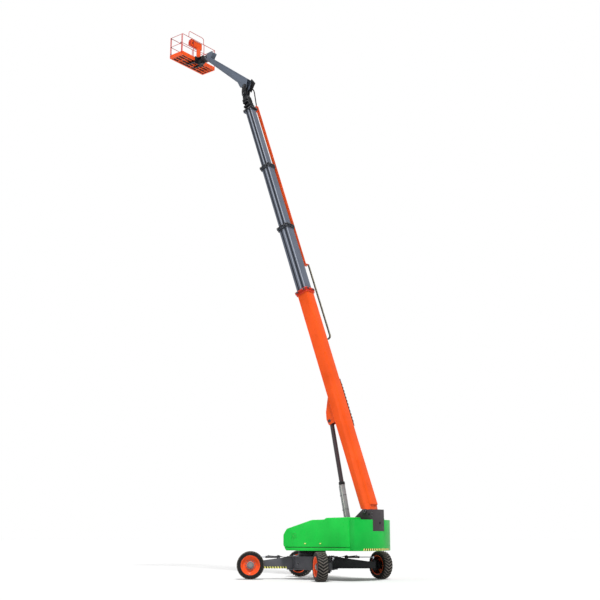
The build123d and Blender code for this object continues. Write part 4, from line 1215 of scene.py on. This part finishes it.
# three hoses lie inside the links
for k, y in enumerate((-0.018, 0.0, 0.018)):
    lane = lane_y + y
    turns = [
        (bend_s - math.sin(a) * bend_r, lane, bend_n + math.cos(a) * bend_r)
        for a in (math.radians(15 * i) for i in range(13))
    ]
    route = [(trough_low, lane, bend_n + bend_r)] + turns + [(chain_end, lane, bend_n - bend_r)]
    put(run, "hose_rubber", pipe("chain_hose", route, 0.008, 0.004, boom, 2))
energy = joined("energy_chain_links", run)
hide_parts("energy_chain")
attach(energy, "boom_base")
print(link_count, "links,", len(energy.data.polygons), "faces")

# %% [markdown]
# ## Cable trough
# The trough takes the hoses from the chain up to the boom's nose. It has rolled lips and a few
# straps across its open side, and four hoses lie in it.

# %% Trough
trough_y, trough_n = -0.400, 0.160
parts = []
for y in (-0.058, 0.058):
    ends = [(s, trough_y + y, trough_n + 0.047) for s in (trough_low, trough_high)]
    put(parts, "boom_orange", pipe("lip", ends, 0.007, place=boom))
strap_count = 4
for k in range(strap_count):
    s = trough_low + 0.25 + k * (trough_high - trough_low - 0.5) / (strap_count - 1)
    put(parts, "boom_orange", slab(
        "strap", (0.030, 0.118, 0.004), (s, trough_y, trough_n + 0.0475), boom, 0,
    ))
# sideways, up and radius of each hose
trough_hoses = (
    (-0.030, -0.014, 0.016), (0.004, -0.016, 0.014), (0.034, -0.018, 0.012), (-0.006, 0.014, 0.011),
)
for y, z, thick in trough_hoses:
    ends = [(s, trough_y + y, trough_n + z) for s in (trough_low + 0.01, trough_high - 0.01)]
    put(parts, "hose_rubber", pipe("trough_hose", ends, thick, place=boom))
trough_inside = mounted("trough_fittings", parts, "boom_section_4")
print(len(trough_inside.data.polygons), "faces in the trough")

# %% [markdown]
# ## Hose to the jib
# A stiff hose leaves the trough and bends round to the guard of the jib's upright. Its route is
# the one its solid takes: straight up, and a quarter bend towards the boom's middle. It is a
# spline, pinned at both ends, and as thick as the bundle that the photograph shows.

# %% Jib hose
hose_d = 0.056
hose_bend = 0.160
hose_from = (20.9103, -0.400, 0.160)
hose_mid = (21.849, -0.400, 0.300)
hose_to = (21.849, -0.2303, 0.300)
way_in = (Vector(hose_mid) - Vector(hose_from)).normalized()
way_out = (Vector(hose_to) - Vector(hose_mid)).normalized()
near = Vector(hose_mid) - way_in * hose_bend
far = Vector(hose_mid) + way_out * hose_bend
route = [Vector(hose_from)]
route += [Vector(hose_from).lerp(near, share) for share in (0.33, 0.66)]
corner_mid = Vector(hose_mid).lerp((near + far) / 2, 0.40)
route += [near, corner_mid, far, Vector(hose_to)]
bpy.ops.object.select_all(action="DESELECT")
line = bpy.data.curves.new("jib_hose_line", "CURVE")
line.dimensions = "3D"
line.bevel_depth = hose_d / 2
line.bevel_resolution = 4
line.use_fill_caps = True
spline = line.splines.new("NURBS")
spline.points.add(len(route) - 1)
for point, spot in zip(spline.points, route):
    point.co = (*(boom @ spot), 1)
spline.order_u = 3
spline.use_endpoint_u = True
jib_hose = bpy.data.objects.new("jib_hose_line", line)
bpy.context.collection.objects.link(jib_hose)
jib_hose.data.materials.append(finishes["hose_rubber"])
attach(jib_hose, "boom_section_4")
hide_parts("jib_hose")

# %% [markdown]
# ## Boom's nose and the jib's root
# Above the last head stand three blocks, black like the knuckle, with a bundle of hoses across
# them. The guard on the right is a deep moulded cover with ribs and bolts.

# %% Nose and knuckle
parts = []
for s, across, high in ((20.84, 0.42, 0.36), (21.04, 0.50, 0.26), (21.20, 0.42, 0.30)):
    put(parts, "black_steel", slab("hose_block", (0.10, across, high), (s, 0, -0.01), boom, 0.010))
    for y in (-across * 0.42, across * 0.42):
        spot = boom @ shift((s, y, high / 2 - 0.01)) @ onto_z
        bolted(parts, spot)
for k, y in enumerate((-0.10, -0.05, 0.0, 0.05, 0.10)):
    route = [(20.66, y, 0.195), (20.80, y, 0.195), (20.92, y, 0.175), (21.30, y, 0.175)]
    put(parts, "hose_rubber", pipe("nose_hose", route, 0.014, 0.05, boom))
mounted("nose_blocks", parts, "boom_section_4")

knuckle = shift(jib_pin)
guard_side = [(-0.190, 0.446), (-0.386, 0.196), (-0.139, -0.222), (0.050, 0.262)]
guard_front, guard_top, guard_low, guard_back = (Vector((x, -0.200, z)) for x, z in guard_side)
parts = []
put(parts, "black_steel", plate("guard_cover", guard_side, 0.070, knuckle @ shift((0, -0.200, 0)), 0.020))
for k in range(5):
    share = (k + 0.7) / 5.4
    top = guard_top.lerp(guard_low, share)
    low = guard_front.lerp(guard_back, share)
    put(parts, "black_steel", pipe(
        "guard_rib", [top.lerp(low, 0.12), top.lerp(low, 0.88)], 0.010,
        place=knuckle @ shift((0, 0.036, 0)),
    ))
    if k in (0, 2, 4):
        for share_in in (0.08, 0.92):
            spot = knuckle @ shift(top.lerp(low, share_in) + Vector((0, -0.034, 0)))
            bolted(parts, spot @ onto_right)
crank_pin = Vector((0.075, 0, -0.212))
for hand in (1, -1):
    ends = [crank_pin + Vector((0, hand * out, 0)) for out in (0.056, 0.068)]
    put(parts, "zinc", pipe("crank_pin_head", ends, 0.034, place=knuckle, resolution=5))
for hand in (1, -1):
    put(parts, "black_steel", slab(
        "knuckle_stop", (0.10, 0.020, 0.12), (-0.02, hand * 0.182, -0.19), knuckle, 0.006,
    ))
guard = mounted("knuckle_fittings", parts, "jib_upright")
print(len(guard.data.polygons), "faces on the knuckle")

# %% [markdown]
# ## Jib
# Three hoses run along the right side of the jib under four clamps. Two welds run along its left.

# %% Jib fittings
jib_l = (jib_end_pin - jib_pin).length
parts = []
for k, lane in enumerate((0.02, 0.05, 0.08)):
    route = [
        (0.52, -0.150, 0.205 - lane), (0.60, -0.158, 0.200 - lane), (jib_l - 0.45, -0.158, 0.060 - lane),
        (jib_l - 0.32, -0.150, 0.055 - lane),
    ]
    put(parts, "hose_rubber", pipe("jib_side_hose", route, 0.010, 0.04, jib))
run_from, run_to = Vector((0.60, -0.158, 0.150)), Vector((jib_l - 0.45, -0.158, 0.010))
for share in (0.08, 0.36, 0.64, 0.92):
    at = run_from.lerp(run_to, share)
    put(parts, "black_steel", slab("jib_clamp", (0.050, 0.030, 0.120), at, jib, 0.004))
    for dz in (-0.048, 0.048):
        spot = jib @ shift(at + Vector((0, -0.015, dz))) @ onto_right
        bolted(parts, spot)
for root_z, tip_z in ((0.300, 0.098), (-0.035, -0.100)):
    seam = [(0.62, 0.141, root_z), (jib_l - 0.40, 0.141, tip_z)]
    put(parts, "section_grey", pipe("jib_weld", seam, 0.005, place=jib))
mounted("jib_fittings", parts, "jib_arm")
print("jib fittings")

# %% [markdown]
# ## Base section
# A row of clamps holds two hoses along the right upper edge of the base section, above the lift
# cylinder. The section's seams are long welds, which stand a few millimetres proud.

# %% Base fittings
parts = []
for k in range(12):
    put(parts, "black_steel", slab(
        "hose_clamp", (0.080, 0.050, 0.050), (3.92 + 0.155 * k, -0.283, 0.262), boom, 0.006,
    ))
for y, n in ((-0.274, 0.272), (-0.292, 0.254)):
    put(parts, "hose_rubber", pipe("base_hose", [(3.7, y, n), (5.9, y, n)], 0.012, place=boom))
for hand in (1, -1):
    for n in (-0.246, 0.246):
        put(parts, "boom_orange", pipe(
            "base_weld", [(0.9, hand * 0.2585, n), (10.1, hand * 0.2585, n)], 0.006, place=boom,
        ))
mounted("base_fittings", parts, "boom_base")

print("base fittings")

# %% [markdown]
# ## Platform
# The floor is open grating on a light frame. Its underside and thin bars are in painted shade, and
# a worn tread plate lies above. The frame, its main bars and the toe boards are orange, and the
# thin tubes of the rails are redder.

# %% Platform finishes
floor_low, floor_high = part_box("platform_basket")
middle_x = (floor_low.x + floor_high.x) / 2
deck_z = floor_low.z + 0.070
basket = steel["platform_basket"]
panel_middle, panel_half = 0.010, 0.145
slat_pitch = 0.110
for finish in ("rail_red", "grating_dark", "tread_plate"):
    basket.data.materials.append(finishes[finish])
toe_top = floor_low.z + 0.194
# faces under the deck that look down, and alternate slats below it, take the painted shade
for face in basket.data.polygons:
    z = face.center.z
    on_panel = abs(face.center.y - panel_middle) < panel_half and face.center.x < floor_low.x + 0.036
    on_panel = on_panel and z < floor_high.z - 0.75
    slat = round((face.center.x - middle_x) / slat_pitch)
    if z > toe_top and not on_panel:
        face.material_index = 1
    elif floor_low.z + 0.004 < z < deck_z - 0.015 and slat % 2 and abs(face.center.x - middle_x) < 0.36:
        face.material_index = 2
    elif abs(face.normal.z) > 0.9 and face.normal.z < 0 and z > floor_low.z + 0.030:
        face.material_index = 2
    elif face.normal.z > 0.9 and abs(z - deck_z) < 0.012:
        face.material_index = 3
painted(steel["platform_gate"], "rail_red").data.materials.append(finishes["boom_orange"])
for face in steel["platform_gate"].data.polygons:
    if face.center.z < toe_top and abs(face.normal.y) > 0.9 and face.area > 0.02:
        face.material_index = 1
parts = []
# grating bars, every fourth a main bar and the others in painted shade, and two black beams below
grating_count, grating_half = 22, 1.12
for k in range(grating_count):
    y = grating_half * (2 * k / (grating_count - 1) - 1)
    main = k % 4 == 1
    size = (0.80, 0.036, 0.050) if main else (0.80, 0.012, 0.022)
    bar = slab("grating_bar", size, (middle_x, y, deck_z - 0.016 - size[2] / 2), edge=0)
    put(parts, "boom_orange" if main else "grating_dark", bar)
for y in (-0.26, 0.26):
    put(parts, "black_steel", slab(
        "floor_beam", (0.82, 0.060, 0.040), (middle_x + 0.02, y, floor_low.z + 0.022), edge=0.004,
    ))
# sockets at the feet of the posts
post_y = (-1.204, -0.390, 0.390, 1.204)
for x in (floor_low.x + 0.017, floor_high.x - 0.017):
    for y in post_y:
        put(parts, "deep_orange", pipe(
            "post_foot", [(x, y, deck_z - 0.02), (x, y, deck_z + 0.065)], 0.0195,
        ))
for y in (-0.75, 0.0, 0.75):
    spot = shift((floor_low.x - 0.001, y, floor_low.z + 0.13)) @ Matrix.Rotation(math.pi, 4, "Z")
    bolted(parts, spot)
grating = mounted("platform_grating", parts, "platform")
print(len(grating.data.polygons), "faces of grating")

# %% [markdown]
# ## Console
# The operator's console hangs on its panel. Its sloping face has two joysticks in rubber boots,
# a red stop button on a yellow ring and two rows of switches. The plates are bare.

# %% Console
console_low, console_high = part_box("control_box")
middle = (console_low + console_high) / 2
width = console_high.y - console_low.y
parts = []
side = [
    (console_low.x + 0.004, console_low.z + 0.02), (console_low.x + 0.004, console_high.z - 0.004),
    (console_low.x + 0.070, console_high.z - 0.004), (console_high.x - 0.004, console_high.z - 0.120),
    (console_high.x - 0.004, console_low.z + 0.10), (console_low.x + 0.120, console_low.z + 0.02),
]
put(parts, "boom_orange", plate("console_shell", side, width - 0.01, shift((0, middle.y, 0)), 0.016))
top_from = Vector((console_low.x + 0.070, middle.y, console_high.z - 0.004))
slope = facing(top_from, Vector((console_high.x - 0.004, middle.y, console_high.z - 0.120)) - top_from)
slope_l = 0.180
put(parts, "black_steel", slab(
    "console_face", (slope_l - 0.02, width - 0.06, 0.006), (slope_l / 2, 0, 0.001), slope, 0.002,
))
boot_side = [(0.0, 0.036), (0.012, 0.034), (0.018, 0.024), (0.030, 0.026), (0.036, 0.015), (0.036, 0.0)]
grip_side = [(0.030, 0.0), (0.030, 0.010), (0.055, 0.010), (0.060, 0.018), (0.100, 0.016), (0.108, 0.0)]
stick_y = 0.24
for y in (-stick_y, stick_y):
    stand = slope @ shift((0.07, y, 0.004)) @ onto_z
    put(parts, "hose_rubber", turned("boot", boot_side, 16, stand))
    put(parts, "chain_plastic", turned("grip", grip_side, 16, stand))
button_at = slope @ shift((0.055, 0.0, 0.004)) @ onto_z
put(parts, "hazard_yellow", turned(
    "button_ring", [(0, 0), (0, 0.034), (0.005, 0.034), (0.005, 0)], 24, button_at,
))
button_side = [
    (0.004, 0), (0.004, 0.012), (0.016, 0.013), (0.018, 0.022), (0.026, 0.022), (0.031, 0.012), (0.031, 0),
]
put(parts, "stop_red", turned("stop_button", button_side, 24, button_at))
for row in range(2):
    for k in range(8):
        y = -0.33 + 0.094 * k
        if abs(y) < 0.06 or abs(abs(y) - stick_y) < 0.05:
            continue
        switch = slab("switch", (0.022, 0.014, 0.012), (0.045 + 0.06 * row, y, 0.008), slope, 0.002)
        put(parts, "lamp_white" if row else "chain_plastic", switch)
for hand in (1, -1):
    put(parts, "deep_orange", slab(
        "cheek", (0.16, 0.010, 0.30), (middle.x - 0.02, middle.y + hand * (width / 2 - 0.006), middle.z),
        edge=0.004,
    ))
lamp_at = facing((console_low.x, middle.y + 0.26, console_low.z + 0.20), (-1, 0, 0))
put(parts, "chain_plastic", turned(
    "work_lamp", [(-0.02, 0), (-0.02, 0.05), (0.006, 0.055), (0.006, 0)], 20, lamp_at,
))
console = joined("console", parts)
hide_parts("control_box")
bpy.data.objects.remove(steel["control_box"])
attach(console, "platform")
print(len(console.data.polygons), "faces on the console")

# %% [markdown]
# ## Rotator, bracket and gate
# The platform turns on a rotator with a bolted round flange at both ends. The gate has three
# hinge knuckles and a latch with a red grip.

# %% Rotator and gate
turn_at = Vector(joints["platform_rotate"]["pos_m"])
parts = []
for z, sign in ((0.1605, 1), (-0.1605, -1)):
    flange_at = shift(turn_at + Vector((0, 0, z + sign * 0.030))) @ Matrix.Scale(sign, 4, (0, 0, 1)) @ onto_z
    disc = turned("rotator_flange", [(0, 0), (0, 0.098), (0.012, 0.098), (0.018, 0.090), (0.018, 0)], 32)
    disc.data.transform(flange_at)
    if sign < 0:
        disc.data.flip_normals()
    put(parts, "black_steel", disc)
    for place in spots(8, 0.076, 0.018):
        bolted(parts, flange_at @ place)
mounted("rotator_flanges", parts, "platform")
hinge_at = Vector(joints["gate_hinge"]["pos_m"])
parts = []
for z in (0.12, 0.52, 0.98):
    at = Vector((hinge_at.x, hinge_at.y, deck_z + z))
    put(parts, "black_steel", pipe("gate_knuckle", [at, at + Vector((0, 0, 0.07))], 0.021))
free_x = hinge_at.x - 0.742
put(parts, "black_steel", slab(
    "gate_latch", (0.070, 0.020, 0.090), (free_x + 0.045, hinge_at.y, deck_z + 0.60), edge=0.004,
))
grip_ends = [(free_x + 0.045, hinge_at.y, deck_z + 0.64), (free_x + 0.12, hinge_at.y - 0.02, deck_z + 0.66)]
put(parts, "stop_red", pipe("latch_grip", grip_ends, 0.008))
mounted("gate_fittings", parts, "platform_gate")
print("rotator and gate")

# %% [markdown]
# ## Mast and channel
# The mast's side plates carry the boom's pin in a boss, a row of bolts along the counterweight,
# and the back a larger cap. Hoses run low in the channel, clear of the boom when it comes down.

# %% Mast fittings
parts = []
for hand in (1, -1):
    at = facing((slew_x - 3.213, hand * 0.400, 2.633), (0, hand, 0))
    put(parts, "black_steel", turned(
        "boss", [(0, 0), (0, 0.045), (0.010, 0.045), (0.014, 0.032), (0.014, 0)], 24, at,
    ))
    for k in range(6):
        at = facing((slew_x - 3.36, hand * 0.400, 2.02 + 0.135 * k), (0, hand, 0))
        bolted(parts, at)
back_at = facing((slew_x - 3.400, -0.104, 2.282), (-1, 0, 0))
put(parts, "black_steel", turned("back_boss", [(0, 0), (0, 0.05), (0.010, 0.05), (0.010, 0)], 24, back_at))
for k, y in enumerate((-0.30, -0.26, -0.22, 0.22, 0.26, 0.30)):
    route = [
        (slew_x - 1.55, y, 1.30), (slew_x - 1.75, y, 1.40 + 0.02 * (k % 3)),
        (slew_x - 2.55, y, 1.40 + 0.02 * (k % 3)), (slew_x - 2.80, y, 1.30),
    ]
    put(parts, "hose_rubber", pipe("channel_hose", route, 0.018, 0.12))
mast = mounted("mast_fittings", parts, "turret")
print(len(mast.data.polygons), "faces on the mast")

# %% [markdown]
# ## Lift cylinder's stripe
# A light stripe runs down the left side of the barrel: a painted highlight.

# %% Stripe
# a white bar on the barrel, as a painted highlight
line = pipe("barrel_stripe", [(0.40, 0.117, 0.02), (2.38, 0.117, 0.02)], 0.010, place=lift)
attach(painted(line, "lamp_white"), "lift_barrel")
print("stripe")

# %% Finish
for piece in (bolt, nut):
    bpy.data.objects.remove(piece)
